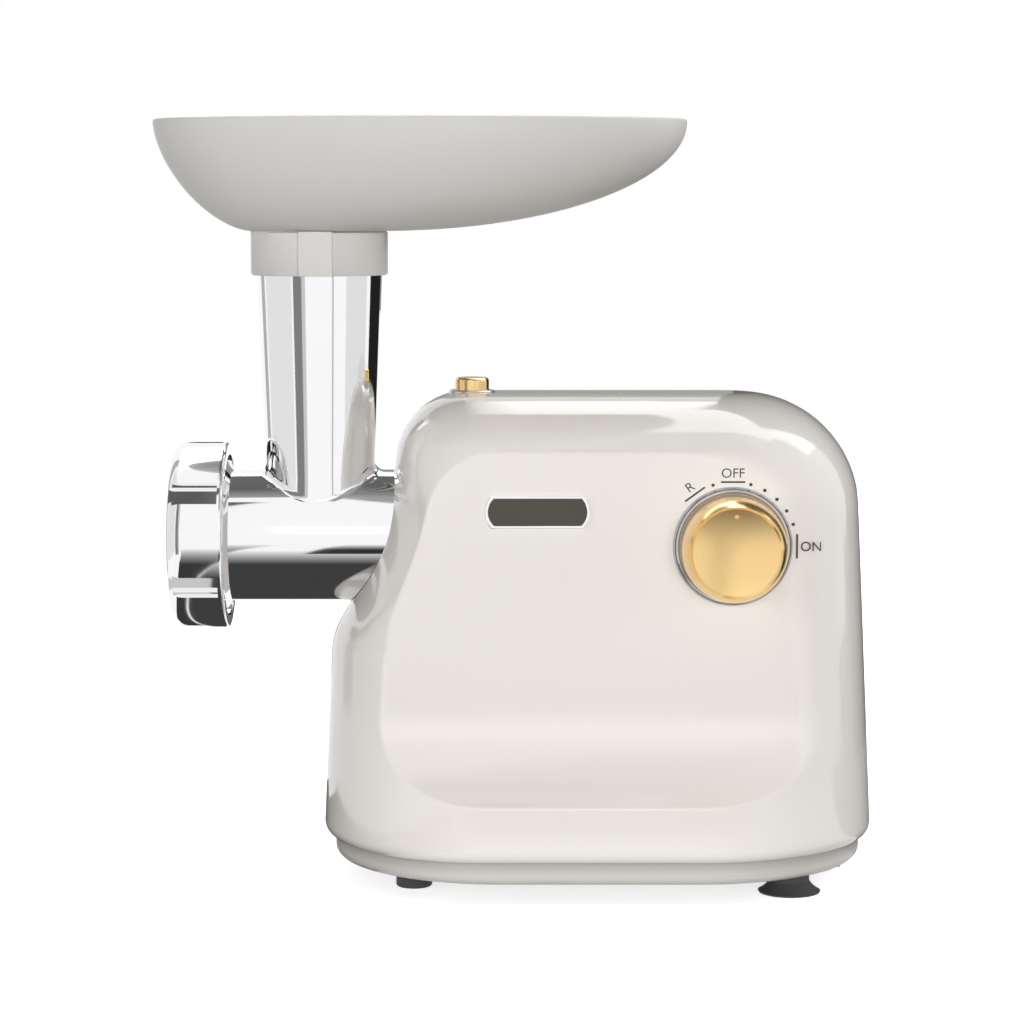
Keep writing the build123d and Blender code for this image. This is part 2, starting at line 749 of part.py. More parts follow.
# Feed auger: tapered core with one helical flight, square drive tang behind and blade pin in front
with BuildPart() as feed_auger:
    with BuildSketch(Plane.XZ):
        with BuildLine():
            Polyline((blade_back_x, head_z), (blade_back_x, head_z + auger_core_front),
                     (auger_back_x, head_z + auger_core_back), (auger_back_x, head_z + auger_journal),
                     (case_front_x, head_z + auger_journal), (case_front_x, head_z), close=True)
        make_face()
    revolve(axis=head_axis)
    with BuildLine() as flight_path:
        Helix(auger_pitch, auger_pitch * auger_turns, flight_sunk_radius,
              center=(flight_front_x, 0, head_z), direction=(1, 0, 0))
    flight_start = flight_path.line @ 0
    outward = flight_start - Vector(flight_front_x, 0, head_z)
    with BuildSketch(Plane(flight_start, x_dir=outward, z_dir=flight_path.line % 0)):
        with BuildLine():
            Polyline((0, -flight_root / 2), (flight_reach, -flight_tip / 2), (flight_reach, flight_tip / 2),
                     (0, flight_root / 2), close=True)
        make_face()
    sweep(path=flight_path.line, is_frenet=True)
    rod_x(blade_front_x - pin_length, blade_front_x, plate_bore - pin_gap, 0, head_z)
    with BuildSketch(Plane.YZ.offset(blade_front_x)):
        with Locations((0, head_z)):
            Rectangle(pin_square, pin_square)
    extrude(amount=blade_thickness)
    with BuildSketch(Plane.YZ.offset(case_front_x)):
        with Locations((0, head_z)):
            Rectangle(tang_square, tang_square)
    extrude(amount=tang_length)
write(feed_auger, "feed_auger")


def tray_oval(share, inset=0.0):
    """Oval of the tray at a share of its depth below the rim, drawn in by an inset."""
    front = tray_front_x + tray_front_run * (1 - (1 - share**tray_front_power) ** (1 / tray_front_power))
    rear = tray_rear_x - tray_rear_run * (1 - sqrt(1 - share**2))
    drawn = 1 - (1 - share**tray_side_power) ** (1 / tray_side_power)
    half_width = tray_half_width - tray_side_run * drawn
    with Locations(((front + rear) / 2, 0)):
        Ellipse((rear - front) / 2 - inset, half_width - inset)


# Tray: an oval dish, deep over the tube and shallow towards the rear, on a slip-on collar
with BuildPart() as tray_hollow:
    for share in tray_levels:
        with BuildSketch(Plane.XY.offset(tray_rim_z - share * (tray_rim_z - tray_floor_z - tray_wall))):
            tray_oval(share, tray_wall)
    loft()

with BuildPart() as hopper_tray:
    for share in tray_levels:
        with BuildSketch(Plane.XY.offset(tray_rim_z - share * (tray_rim_z - tray_floor_z))):
            tray_oval(share)
    loft()
    add(tray_hollow.part, mode=Mode.SUBTRACT)
    rod_z(collar_z, tray_floor_z + tray_wall, collar_radius, tube_x)
    block((tube_x - rib_width / 2, -collar_radius - rib_proud, collar_z),
          (tube_x + rib_width / 2, -collar_radius + tray_wall, tray_floor_z + tray_wall))
    rod_z(collar_z, tube_top_z + collar_gap, collar_bore, tube_x, 0, Mode.SUBTRACT)
    rod_z(collar_z, tray_rim_z, throat_radius, tube_x, 0, Mode.SUBTRACT)
write(hopper_tray, "hopper_tray")

# Gear train, in mesh at rest: each pair has a tooth against a gap on its line of centres
with BuildPart() as output_shaft:
    rod_x(case_front_x, output_gear_x, output_journal, 0, head_z)
    rod_x(output_gear_x, output_gear_x + output_gear_width, output_hub, 0, head_z)
    rod_x(output_gear_x + output_gear_width, cover_back_x - boss_wall / 2, output_tail, 0, head_z)
    with BuildSketch(Plane.YZ.offset(case_front_x)):
        with Locations((0, head_z)):
            Rectangle(tang_square + 2 * pin_gap, tang_square + 2 * pin_gap)
    extrude(amount=tang_length, mode=Mode.SUBTRACT)
write(output_shaft, "output_shaft")

with BuildPart() as output_gear:
    spur_gear(output_gear_x, output_gear_width, gear_teeth, output_module, output_hub, head_z, -90)
write(output_gear, "output_gear")

with BuildPart() as idler_pinion:
    spur_gear(output_gear_x - pinion_overlap, output_gear_width + 2 * pinion_overlap, pinion_teeth,
              output_module, idler_radius, idler_z, 90 + 180 / pinion_teeth)
write(idler_pinion, "idler_pinion")

with BuildPart() as idler_gear:
    spur_gear(input_gear_x, input_gear_width, gear_teeth, input_module, idler_radius, idler_z, -90)
write(idler_gear, "idler_gear")

with BuildPart() as idler_shaft:
    rod_x(case_front_x + boss_wall / 2, cover_back_x - boss_wall / 2, idler_radius, 0, idler_z)
write(idler_shaft, "idler_shaft")

with BuildPart() as motor_pinion:
    spur_gear(input_gear_x - pinion_overlap, input_gear_width + 2 * pinion_overlap, pinion_teeth,
              input_module, shaft_radius, motor_z, 90 + 180 / pinion_teeth)
write(motor_pinion, "motor_pinion")

with BuildPart() as output_bearing:
    rod_x(case_front_x, case_front_x + bearing_width, bearing_radius, 0, head_z)
    rod_x(case_front_x, case_front_x + bearing_width, output_journal + bush_gap, 0, head_z, Mode.SUBTRACT)
write(output_bearing, "output_bearing")

with BuildPart() as gear_bushes:
    for start, outer, inner, z in bush_seats:
        rod_x(start, start + small_bush_width, outer, 0, z)
        rod_x(start, start + small_bush_width, inner + bush_gap, 0, z, Mode.SUBTRACT)
write(gear_bushes, "gear_bushes")


def case_outline(shrink=0.0):
    """Egg-shaped outline round the three gear axes, drawn in by a shrink."""
    with Locations((0, head_z)):
        Circle(case_top_radius - shrink)
    with Locations((0, idler_z)):
        Circle(case_mid_radius - shrink)
    with Locations((0, motor_z)):
        Circle(motor_boss_radius - shrink)
    make_hull()


# Gear case: open at the back, with a socket for the spigot, guides for the lock slide and two legs
with BuildPart() as gearbox_case:
    with BuildSketch(Plane.YZ.offset(case_front_x)):
        case_outline()
    extrude(amount=case_joint_x - case_front_x)
    for y, z in ear_places:
        rod_x(case_joint_x - ear_screw_length - boss_wall, case_joint_x, ear_radius, y, z)
    for side in (1, -1):
        block((output_gear_x, side * leg_spread - leg_width / 2, floor_z),
              (output_gear_x + leg_width, side * leg_spread + leg_width / 2, motor_z))
    with BuildSketch(Plane.YZ.offset(case_front_x + case_wall)):
        case_outline(case_wall)
    extrude(amount=case_joint_x - case_front_x - case_wall, mode=Mode.SUBTRACT)
    rod_x(socket_front_x, case_front_x + bearing_width, socket_radius, 0, head_z)
    rod_x(socket_front_x, case_front_x, spigot_radius + socket_gap, 0, head_z, Mode.SUBTRACT)
    rod_x(case_front_x, case_front_x + bearing_width, bearing_radius, 0, head_z, Mode.SUBTRACT)
    rod_x(case_front_x, case_front_x + small_bush_width, small_bush_radius + boss_wall, 0, idler_z)
    rod_x(case_front_x, case_front_x + small_bush_width, small_bush_radius, 0, idler_z, Mode.SUBTRACT)
    for side in (1, -1):
        near_y = side * (slide_half_width + slide_gap)
        far_y = side * (slide_half_width + slide_gap + boss_wall)
        block((slide_x - slide_gap, min(near_y, far_y), head_z - boss_wall),
              (case_front_x + case_wall, max(near_y, far_y), head_z + boss_wall))
    block((slide_x - boss_wall, -slide_rail, ledge_z - ledge_thickness),
          (case_front_x, slide_rail, ledge_z))
    for y, z in ear_places:
        rod_x(case_joint_x - ear_screw_length, case_joint_x, ear_screw_radius, y, z, Mode.SUBTRACT)
write(gearbox_case, "gearbox_case")

with BuildPart() as gearbox_cover:
    with BuildSketch(Plane.YZ.offset(case_joint_x)):
        case_outline()
    extrude(amount=cover_thickness)
    for y, z in ear_places:
        rod_x(case_joint_x, cover_back_x, ear_radius, y, z)
    for start, outer, _, z in bush_seats[1:]:
        rod_x(start, cover_back_x, outer + boss_wall, 0, z)
    for start, outer, _, z in bush_seats[1:]:
        rod_x(start, start + small_bush_width, outer, 0, z, Mode.SUBTRACT)
    rod_x(case_joint_x, cover_back_x, motor_register, 0, motor_z, Mode.SUBTRACT)
    for y, z in ear_places:
        rod_x(case_joint_x, cover_back_x, ear_screw_radius + bush_gap, y, z, Mode.SUBTRACT)
write(gearbox_cover, "gearbox_cover")

with BuildPart() as gearbox_screws:
    for y, z in ear_places:
        rod_x(case_joint_x - ear_screw_length, cover_back_x, ear_screw_radius, y, z)
        rod_x(cover_back_x, cover_back_x + screw_head, screw_head_radius, y, z)
write(gearbox_screws, "gearbox_screws")

# Motor: deep-drawn can with two magnets, a wound armature and a moulded end cap with brushes
with BuildPart() as motor_can:
    rod_x(motor_front_x, motor_back_x, motor_radius, 0, motor_z)
    rod_x(cover_back_x - cover_thickness, motor_front_x, motor_register, 0, motor_z)
    rod_x(motor_front_x + motor_face, motor_back_x, motor_radius - motor_wall, 0, motor_z, Mode.SUBTRACT)
    rod_x(cover_back_x - cover_thickness, motor_front_x + motor_face, small_bush_radius, 0, motor_z,
          Mode.SUBTRACT)
write(motor_can, "motor_can")

with BuildPart() as motor_magnets:
    for side in (0, 180):
        arc_start = side - magnet_arc / 2
        with BuildSketch(Plane.YZ.offset(core_x - (magnet_length - core_length) / 2)):
            with BuildLine():
                outer = CenterArc((0, motor_z), magnet_radius, arc_start, magnet_arc)
                inner = CenterArc((0, motor_z), magnet_radius - magnet_thickness, arc_start, magnet_arc)
                Line(outer @ 0, inner @ 0)
                Line(outer @ 1, inner @ 1)
            make_face()
        extrude(amount=magnet_length)
write(motor_magnets, "motor_magnets")

with BuildPart() as armature_core:
    rod_x(core_x, core_x + core_length, core_radius, 0, motor_z)
    with BuildSketch(Plane.YZ.offset(core_x)):
        with Locations((0, motor_z)):
            with PolarLocations(core_radius - core_slot_depth / 2, core_slots):
                Rectangle(core_slot_depth, core_slot_width)
            Circle(shaft_radius)
    extrude(amount=core_length, mode=Mode.SUBTRACT)
write(armature_core, "armature_core")

with BuildPart() as armature_windings:
    for start in (core_x - winding_length, core_x + core_length):
        rod_x(start, start + winding_length, winding_outer, 0, motor_z)
        rod_x(start, start + winding_length, winding_inner, 0, motor_z, Mode.SUBTRACT)
    for ring in armature_windings.solids():
        far_edges = ring.edges().filter_by(GeomType.CIRCLE).sort_by(SortBy.RADIUS)[-2:]
        fillet(far_edges, radius=winding_round)
write(armature_windings, "armature_windings")

with BuildPart() as commutator:
    rod_x(commutator_x, commutator_x + commutator_length, commutator_radius, 0, motor_z)
    rod_x(commutator_x, commutator_x + commutator_length, shaft_radius, 0, motor_z, Mode.SUBTRACT)
write(commutator, "commutator")

with BuildPart() as motor_shaft:
    rod_x(input_gear_x - 2 * pinion_overlap, fan_x + fan_width + pinion_overlap, shaft_radius, 0, motor_z)
write(motor_shaft, "motor_shaft")

with BuildPart() as motor_end_cap:
    rod_x(motor_back_x, cap_back_x, motor_radius, 0, motor_z)
    rod_x(motor_back_x - end_cap_lip, motor_back_x, motor_radius - motor_wall, 0, motor_z)
    rod_x(motor_back_x - end_cap_lip, motor_back_x, motor_radius - 2 * motor_wall, 0, motor_z,
          Mode.SUBTRACT)
    rod_x(motor_back_x, cap_back_x, small_bush_radius, 0, motor_z, Mode.SUBTRACT)
    with BuildSketch(Plane.YZ.offset(motor_back_x)):
        with Locations((0, motor_z)):
            with PolarLocations((motor_radius + small_bush_radius) / 2, end_cap_slots,
                                start_angle=180 / end_cap_slots):
                SlotOverall(end_cap_slot_length, brush_width, rotation=90)
    extrude(amount=end_cap_thickness, mode=Mode.SUBTRACT)
write(motor_end_cap, "motor_end_cap")

with BuildPart() as brush_holders:
    for side in (1, -1):
        near_y = side * (commutator_radius + brush_gap)
        far_y = side * (motor_radius - 2 * motor_wall - brush_gap)
        block((commutator_x + brush_gap, min(near_y, far_y), motor_z - brush_width / 2),
              (motor_back_x, max(near_y, far_y), motor_z + brush_width / 2))
write(brush_holders, "brush_holders")

with BuildPart() as motor_bushes:
    for start, end in ((cover_back_x, motor_front_x + motor_face), (motor_back_x, cap_back_x)):
        rod_x(start, end, small_bush_radius, 0, motor_z)
        rod_x(start, end, shaft_radius + bush_gap, 0, motor_z, Mode.SUBTRACT)
write(motor_bushes, "motor_bushes")

with BuildPart() as cooling_fan:
    rod_x(fan_x, fan_x + fan_width, fan_hub_radius, 0, motor_z)
    rod_x(fan_x, fan_x + fan_blade_thickness, fan_radius, 0, motor_z)
    for blade in range(fan_blades):
        with BuildSketch(Plane.YZ.offset(fan_x)):
            with Locations(Location((0, motor_z), blade * 360 / fan_blades)):
                with Locations(((fan_radius + fan_hub_radius / 2) / 2, 0)):
                    Rectangle(fan_radius - fan_hub_radius / 2, fan_blade_thickness)
        extrude(amount=fan_width)
    rod_x(fan_x, fan_x + fan_width, shaft_radius, 0, motor_z, Mode.SUBTRACT)
write(cooling_fan, "cooling_fan")

with BuildPart() as motor_cradles:
    for x in (motor_front_x + cradle_margin, motor_back_x - cradle_margin - cradle_width):
        block((x, -cradle_half_span, floor_z), (x + cradle_width, cradle_half_span, motor_z - cradle_width))
    rod_x(motor_front_x, motor_back_x, motor_radius, 0, motor_z, Mode.SUBTRACT)
write(motor_cradles, "motor_cradles")

with BuildPart() as control_board:
    block((board_x, -board_half_width, board_z),
          (board_x + board_thickness, board_half_width, board_z + board_height))
write(control_board, "control_board")

with BuildPart() as board_components:
    face_x = board_x + board_thickness
    block((face_x, -board_half_width / 2, board_z + heat_sink_rise),
          (face_x + component_depth, board_half_width / 2, board_z + heat_sink_rise + heat_sink_height))
    for y in (-board_half_width / 2, 0, board_half_width / 2):
        rod_x(face_x, face_x + component_depth, capacitor_radius, y, board_z + capacitor_rise)
write(board_components, "board_components")

# Speed knob: dished face inside a raised rim, on the shaft of a rotary switch
with BuildPart() as rotary_switch:
    block((knob_x - switch_size / 2, -panel_inner_y, knob_z - switch_size / 2),
          (knob_x + switch_size / 2, -panel_inner_y + switch_depth, knob_z + switch_size / 2))
    fillet(rotary_switch.edges().filter_by(Axis.Y), radius=switch_corner)
    rod_y(switch_neck_front_y, -panel_inner_y, switch_neck_radius, knob_x, knob_z)
    rod_y(switch_neck_front_y, -panel_inner_y + switch_depth, stem_radius + bush_gap, knob_x, knob_z,
          Mode.SUBTRACT)
write(rotary_switch, "rotary_switch")

with BuildPart() as switch_nut:
    with BuildSketch(Plane.XZ.offset(panel_y)):
        with Locations((knob_x, knob_z)):
            RegularPolygon(switch_nut_radius, 6)
            Circle(switch_neck_radius, mode=Mode.SUBTRACT)
    extrude(amount=switch_nut_thickness)
write(switch_nut, "switch_nut")

with BuildPart() as knob_bezel:
    rod_y(bezel_front_y, -panel_y, bezel_radius, knob_x, knob_z)
    chamfer(knob_bezel.faces().sort_by(Axis.Y)[0].edges(), length=bezel_edge)
    rod_y(bezel_front_y, bezel_front_y + bezel_well, knob_radius + knob_gap, knob_x, knob_z, Mode.SUBTRACT)
    rod_y(bezel_front_y, -panel_y, switch_nut_radius + knob_gap, knob_x, knob_z, Mode.SUBTRACT)
write(knob_bezel, "knob_bezel")

with BuildPart() as speed_knob:
    with BuildSketch(Plane((knob_x, 0, knob_z), x_dir=(1, 0, 0), z_dir=(0, 0, 1))):
        with BuildLine():
            Polyline((0, knob_web_y), (knob_hollow, knob_web_y), (knob_hollow, knob_back_y),
                     (knob_radius, knob_back_y), (knob_radius, knob_front_y + knob_shoulder))
            TangentArc((knob_radius, knob_front_y + knob_shoulder), (knob_crest, knob_front_y),
                       tangent=(0, -1))
            Line((knob_crest, knob_front_y), (knob_dish_edge, knob_front_y + knob_skirt))
            ThreePointArc((knob_dish_edge, knob_front_y + knob_skirt),
                          (knob_dish_mid, knob_front_y + knob_dish_mid_depth),
                          (0, knob_front_y + knob_dish))
            Line((0, knob_front_y + knob_dish), (0, knob_web_y))
        make_face()
    revolve(axis=knob_axis)
    rod_y(knob_web_y, knob_hub_y, knob_hub_radius, knob_x, knob_z)
    rod_y(knob_web_y, knob_hub_y, stem_radius, knob_x, knob_z, Mode.SUBTRACT)
    with Locations((knob_x, knob_front_y + knob_skirt, knob_z + knob_dish_edge - knob_mark_inset)):
        Sphere(knob_mark_radius, mode=Mode.SUBTRACT)
write(speed_knob, "speed_knob")

with BuildPart() as switch_shaft:
    rod_y(knob_web_y, -panel_inner_y + switch_depth - knob_skirt, stem_radius, knob_x, knob_z)
write(switch_shaft, "switch_shaft")

# Head release: a sprung button that pushes a slotted plate down off the spigot
with BuildPart() as button_collar:
    rod_z(collar_seat_z, button_collar_top, button_collar_radius, button_x)
    fillet(button_collar.edges().group_by(Axis.Z)[-1], radius=button_collar_lip / 2)
    rod_z(collar_foot_z, collar_seat_z, collar_sleeve_radius, button_x)
    rod_z(collar_foot_z, button_collar_top, button_radius + button_gap, button_x, 0, Mode.SUBTRACT)
write(button_collar, "button_collar")

with BuildPart() as lock_button:
    rod_z(collar_foot_z, button_top_z, button_radius, button_x)
    fillet(lock_button.edges().group_by(Axis.Z)[-1], radius=button_collar_lip)
    rod_z(slide_arm_top, collar_foot_z, button_stem_radius, button_x)
write(lock_button, "lock_button")

with BuildPart() as lock_slide:
    with BuildSketch(Plane.YZ.offset(slide_x)):
        with Locations((0, head_z), (0, head_z + button_travel)):
            Circle(slide_half_width)
        make_hull()
        with Locations((0, (head_z + slide_arm_top) / 2)):
            Rectangle(2 * slide_arm_half_width, slide_arm_top - head_z)
    extrude(amount=slide_thickness)
    with BuildSketch(Plane.YZ.offset(slide_x)):
        with Locations((0, head_z), (0, head_z + button_travel)):
            Circle(spigot_radius + slide_gap)
        make_hull()
    extrude(amount=slide_thickness, mode=Mode.SUBTRACT)
    block((slide_x, -tooth_half_width, slide_bottom_z + slide_rail / 2),
          (slide_x + slide_thickness, tooth_half_width, head_z - spigot_radius + tooth_height))
    block((slide_x, -slide_arm_half_width, slide_arm_z),
          (button_x + slide_arm_half_width, slide_arm_half_width, slide_arm_top))
write(lock_slide, "lock_slide")

with BuildPart() as lock_spring:
    with BuildLine() as coil:
        Helix(spring_rise / spring_turns, spring_rise, spring_radius,
              center=(slide_x + slide_thickness / 2, 0, ledge_z + spring_wire))
    with BuildSketch(Plane(coil.line @ 0, z_dir=coil.line % 0)):
        Circle(spring_wire)
    sweep(path=coil.line, is_frenet=True)
write(lock_spring, "lock_spring")

# Badge: a bare plate in a raised border
with BuildPart() as badge_frame:
    with BuildSketch(Plane.XZ.offset(panel_y)):
        with Locations((badge_x, badge_z)):
            SlotOverall(badge_length, badge_height)
            SlotOverall(badge_length - 2 * badge_border, badge_height - 2 * badge_border,
                        mode=Mode.SUBTRACT)
    extrude(amount=badge_thickness)
    fillet(badge_frame.faces().sort_by(Axis.Y)[0].edges(), radius=badge_edge_round)
write(badge_frame, "badge_frame")

with BuildPart() as badge_plate:
    with BuildSketch(Plane.XZ.offset(panel_y)):
        with Locations((badge_x, badge_z)):
            SlotOverall(badge_length - 2 * badge_border, badge_height - 2 * badge_border)
    extrude(amount=badge_plate_thickness)
write(badge_plate, "badge_plate")
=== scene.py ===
"""Countertop meat grinder: the visible shells, trim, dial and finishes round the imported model.

Metres, in the model's own frame: +Z up, the mincing head points to -X, the speed knob is on the -Y side.
"""

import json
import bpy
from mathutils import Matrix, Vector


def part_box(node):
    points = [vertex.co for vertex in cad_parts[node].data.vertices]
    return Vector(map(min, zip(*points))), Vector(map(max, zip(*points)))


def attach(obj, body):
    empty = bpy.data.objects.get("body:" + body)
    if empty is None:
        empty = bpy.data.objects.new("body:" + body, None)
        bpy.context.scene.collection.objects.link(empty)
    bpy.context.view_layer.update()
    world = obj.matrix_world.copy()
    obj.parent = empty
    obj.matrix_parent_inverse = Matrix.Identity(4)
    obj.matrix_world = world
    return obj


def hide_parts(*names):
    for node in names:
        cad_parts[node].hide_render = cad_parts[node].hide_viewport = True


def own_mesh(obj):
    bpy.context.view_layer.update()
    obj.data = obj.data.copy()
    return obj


bl_info = {
    "name": "Meat Grinder Dressing",
    "version": (1, 0, 0),
    "blender": (4, 5, 0),
    "location": "View3D > Sidebar > Grinder",
    "description": "Models the shells, trim and finishes of a countertop meat grinder",
    "category": "Add Mesh",
}

from collections import namedtuple
from math import acos, asin, atan, cos, pi, radians, sin, sqrt, tan

import bmesh
import bpy
from bpy.props import FloatProperty, FloatVectorProperty, PointerProperty
from mathutils import Matrix, Vector

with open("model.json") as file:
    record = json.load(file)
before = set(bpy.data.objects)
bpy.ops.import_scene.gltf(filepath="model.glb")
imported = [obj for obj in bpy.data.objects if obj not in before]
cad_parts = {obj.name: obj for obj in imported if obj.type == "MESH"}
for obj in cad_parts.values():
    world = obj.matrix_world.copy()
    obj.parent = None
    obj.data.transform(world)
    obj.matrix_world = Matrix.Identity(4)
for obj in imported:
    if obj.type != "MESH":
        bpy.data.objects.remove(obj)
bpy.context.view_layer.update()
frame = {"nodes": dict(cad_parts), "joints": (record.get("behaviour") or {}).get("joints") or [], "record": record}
HOUSING_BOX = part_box("main_housing")
COVER_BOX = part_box("base_cover")
TRAY_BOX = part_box("hopper_tray")
BEZEL_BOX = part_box("knob_bezel")
COLLAR_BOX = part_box("button_collar")
BADGE_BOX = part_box("badge_frame")
DIAL_CENTRE = Vector(((BEZEL_BOX[0].x + BEZEL_BOX[1].x) / 2, BEZEL_BOX[1].y,
                      (BEZEL_BOX[0].z + BEZEL_BOX[1].z) / 2))

# Doubles nearer than this are merged, and edges sharper than these angles stay sharp.
MERGE_DISTANCE = 1e-6
PLAIN_CREASE, HOUSING_CREASE, ROUND_CREASE = 35.0, 40.0, 50.0

# Steps of the housing's rings from the rim to the crown, and of one half ring from the rear to the nose.
RIM_STEPS, SKIRT_STEPS, SCOOP_STEPS, PANEL_STEPS = 8, 12, 26, 10
SLOPE_STEPS, DOME_STEPS, CROWN_STEPS = 22, 22, 30
REAR_STEPS, SIDE_STEPS, NOSE_STEPS = 30, 34, 34

# Halvings that find the height of the panel's edge, and steps round and along the other pieces.
HALVINGS = 40
ROD_SEGMENTS, BARREL_SEGMENTS = 96, 128
TRAY_SEGMENTS, DISH_STEPS, LIP_STEPS, RIB_EDGE_STEPS = 160, 40, 8, 3
BADGE_END_STEPS, BEAD_EDGE_STEPS = 24, 5
RING_STEPS, DOT_SEGMENTS, FLOOR_SEGMENTS = 144, 20, 96

# The groove and the bright bead on the ring round the knob, in half widths of the bead: out from the bore and
# down from the top.
RING_BEAD = ((3.6, 1.0), (3.2, 2.0), (2.8, 1.0), (2.2, 0.25), (1.5, 0.0), (0.8, 0.25), (0.0, 1.0))

# Bearings of the dial's dots and words, in degrees from the top. The last word stands upright beside its bar.
DIAL_DOTS = (-18.0, 16.0, 29.5, 43.0, 56.5, 70.0)
DIAL_WORDS = ((-36.0, "R", False), (0.0, "OFF", False), (90.0, "ON", True))
CAPITAL_SHARE = 0.72

# Lamps: name, place, aim, width, height and power.
MIDDLE = (-0.03, 0.0, 0.17)
LAMPS = (
    ("key_lamp", (0.12, -1.7, 0.12), MIDDLE, 1.2, 0.9, 33.0),
    ("side_lamp", (1.2, 0.5, 0.9), MIDDLE, 0.8, 0.8, 13.0),
    ("rear_lamp", (1.5, -0.3, 0.3), MIDDLE, 0.8, 0.8, 3.5),
    ("left_lamp", (-1.5, -1.0, 0.3), MIDDLE, 0.8, 0.8, 10.0),
    ("rim_lamp", (-1.0, 1.0, 0.25), MIDDLE, 0.8, 0.8, 7.0),
    ("back_lamp", (0.1, 1.8, 0.5), MIDDLE, 1.2, 0.9, 24.0),
    ("tray_lamp", (-0.08, 0.0, 0.5), (-0.08, 0.0, 0.0), 0.12, 0.06, 0.25),
    ("floor_lamp", (0.0, -0.125, 0.001), (0.0, -0.125, 1.0), 0.26, 0.08, 0.022),
)

# Reflection cards: name, place, facing, width, height and strength. A card may fade from one strength to
# another along an axis, between two places, and may show on its front only.
UP, DOWN, ACROSS = (0.0, 0.0, 1.0), (0.0, 0.0, -1.0), (1.0, 0.0, 0.0)
TO_VIEWER, FROM_VIEWER = (0.0, -1.0, 0.0), (0.0, 1.0, 0.0)
CARDS = (
    ("low_card", (-0.147, -0.1, 0.004), UP, 0.094, 0.6, (1.0, 0.05), (FROM_VIEWER, -0.4, -0.16)),
    ("nut_card", (-0.237, -0.4, 0.004), UP, 0.084, 1.1, (1.0, 0.04), (FROM_VIEWER, -0.8, -0.28)),
    ("glint_card", (-0.215, -0.11, 0.005), UP, 0.06, 0.05, (0.6,)),
    ("groove_card", (-0.3025, -0.62, 1.11), (0.1225, 0.584, -0.935), 0.075, 0.3, (0.1,)),
    ("knob_card", (0.05, -0.55, 0.006), UP, 0.4, 0.5, (1.0, 0.03), (FROM_VIEWER, -0.8, -0.42)),
    ("front_card", (0.15, -1.4, 0.5), (-0.1, 1.4, -0.35), 0.8, 0.34, (1.2,)),
    ("dark_card", (0.3, -0.72, 1.2), (-0.2, 0.72, -1.05), 0.8, 1.05, (0.35,)),
    ("top_card", (0.45, 0.74, 1.3), DOWN, 2.3, 1.32, (3.2,)),
    ("crown_card", (-0.018, 0.012, 0.262), DOWN, 0.096, 0.046, (0.4, 3.2), (ACROSS, -0.066, -0.036), True),
    ("shade_card", (-0.1235, 0.015, 0.285), DOWN, 0.107, 0.14, (0.35, 0.13), (FROM_VIEWER, -0.055, -0.015),
     True),
    ("rear_card", (0.42, 0.6, 0.04), TO_VIEWER, 1.35, 0.08, (0.15,)),
    ("crown_rear_card", (0.05, 0.6, 0.36), TO_VIEWER, 0.4, 0.28, (0.3,)),
    ("rear_floor_card", (0.6, 0.3, 0.004), UP, 1.0, 0.6, (0.15,)),
)

# Upright cards round the tube: name, first and last bearing in degrees from the viewer's, distance and
# strength.
WALL_HEIGHT = 0.9
WALL_CARDS = (
    ("left_edge", -132.0, -118.0, 0.6, 0.45),
    ("left_wall", -113.0, -50.0, 0.6, 0.8),
    ("left_strip", -46.0, -30.0, 0.55, 0.22),
    ("left_fade", -30.0, -23.0, 0.55, 0.6),
    ("right_line", 26.0, 29.0, 0.55, 0.5),
    ("right_wall", 53.0, 100.0, 0.6, 0.78),
    ("right_strip", 110.0, 156.0, 0.5, 0.015),
)


def length(name, description, default):
    """A length property in metres."""
    return FloatProperty(name=name, description=description, default=default, unit="LENGTH", precision=5)


def share(name, description, default):
    """A plain number property."""
    return FloatProperty(name=name, description=description, default=default)


def colour(name, description, default):
    """A colour property in linear light."""
    return FloatVectorProperty(name=name, description=description, default=default, subtype="COLOR", size=3,
                               min=0.0, max=1.0)


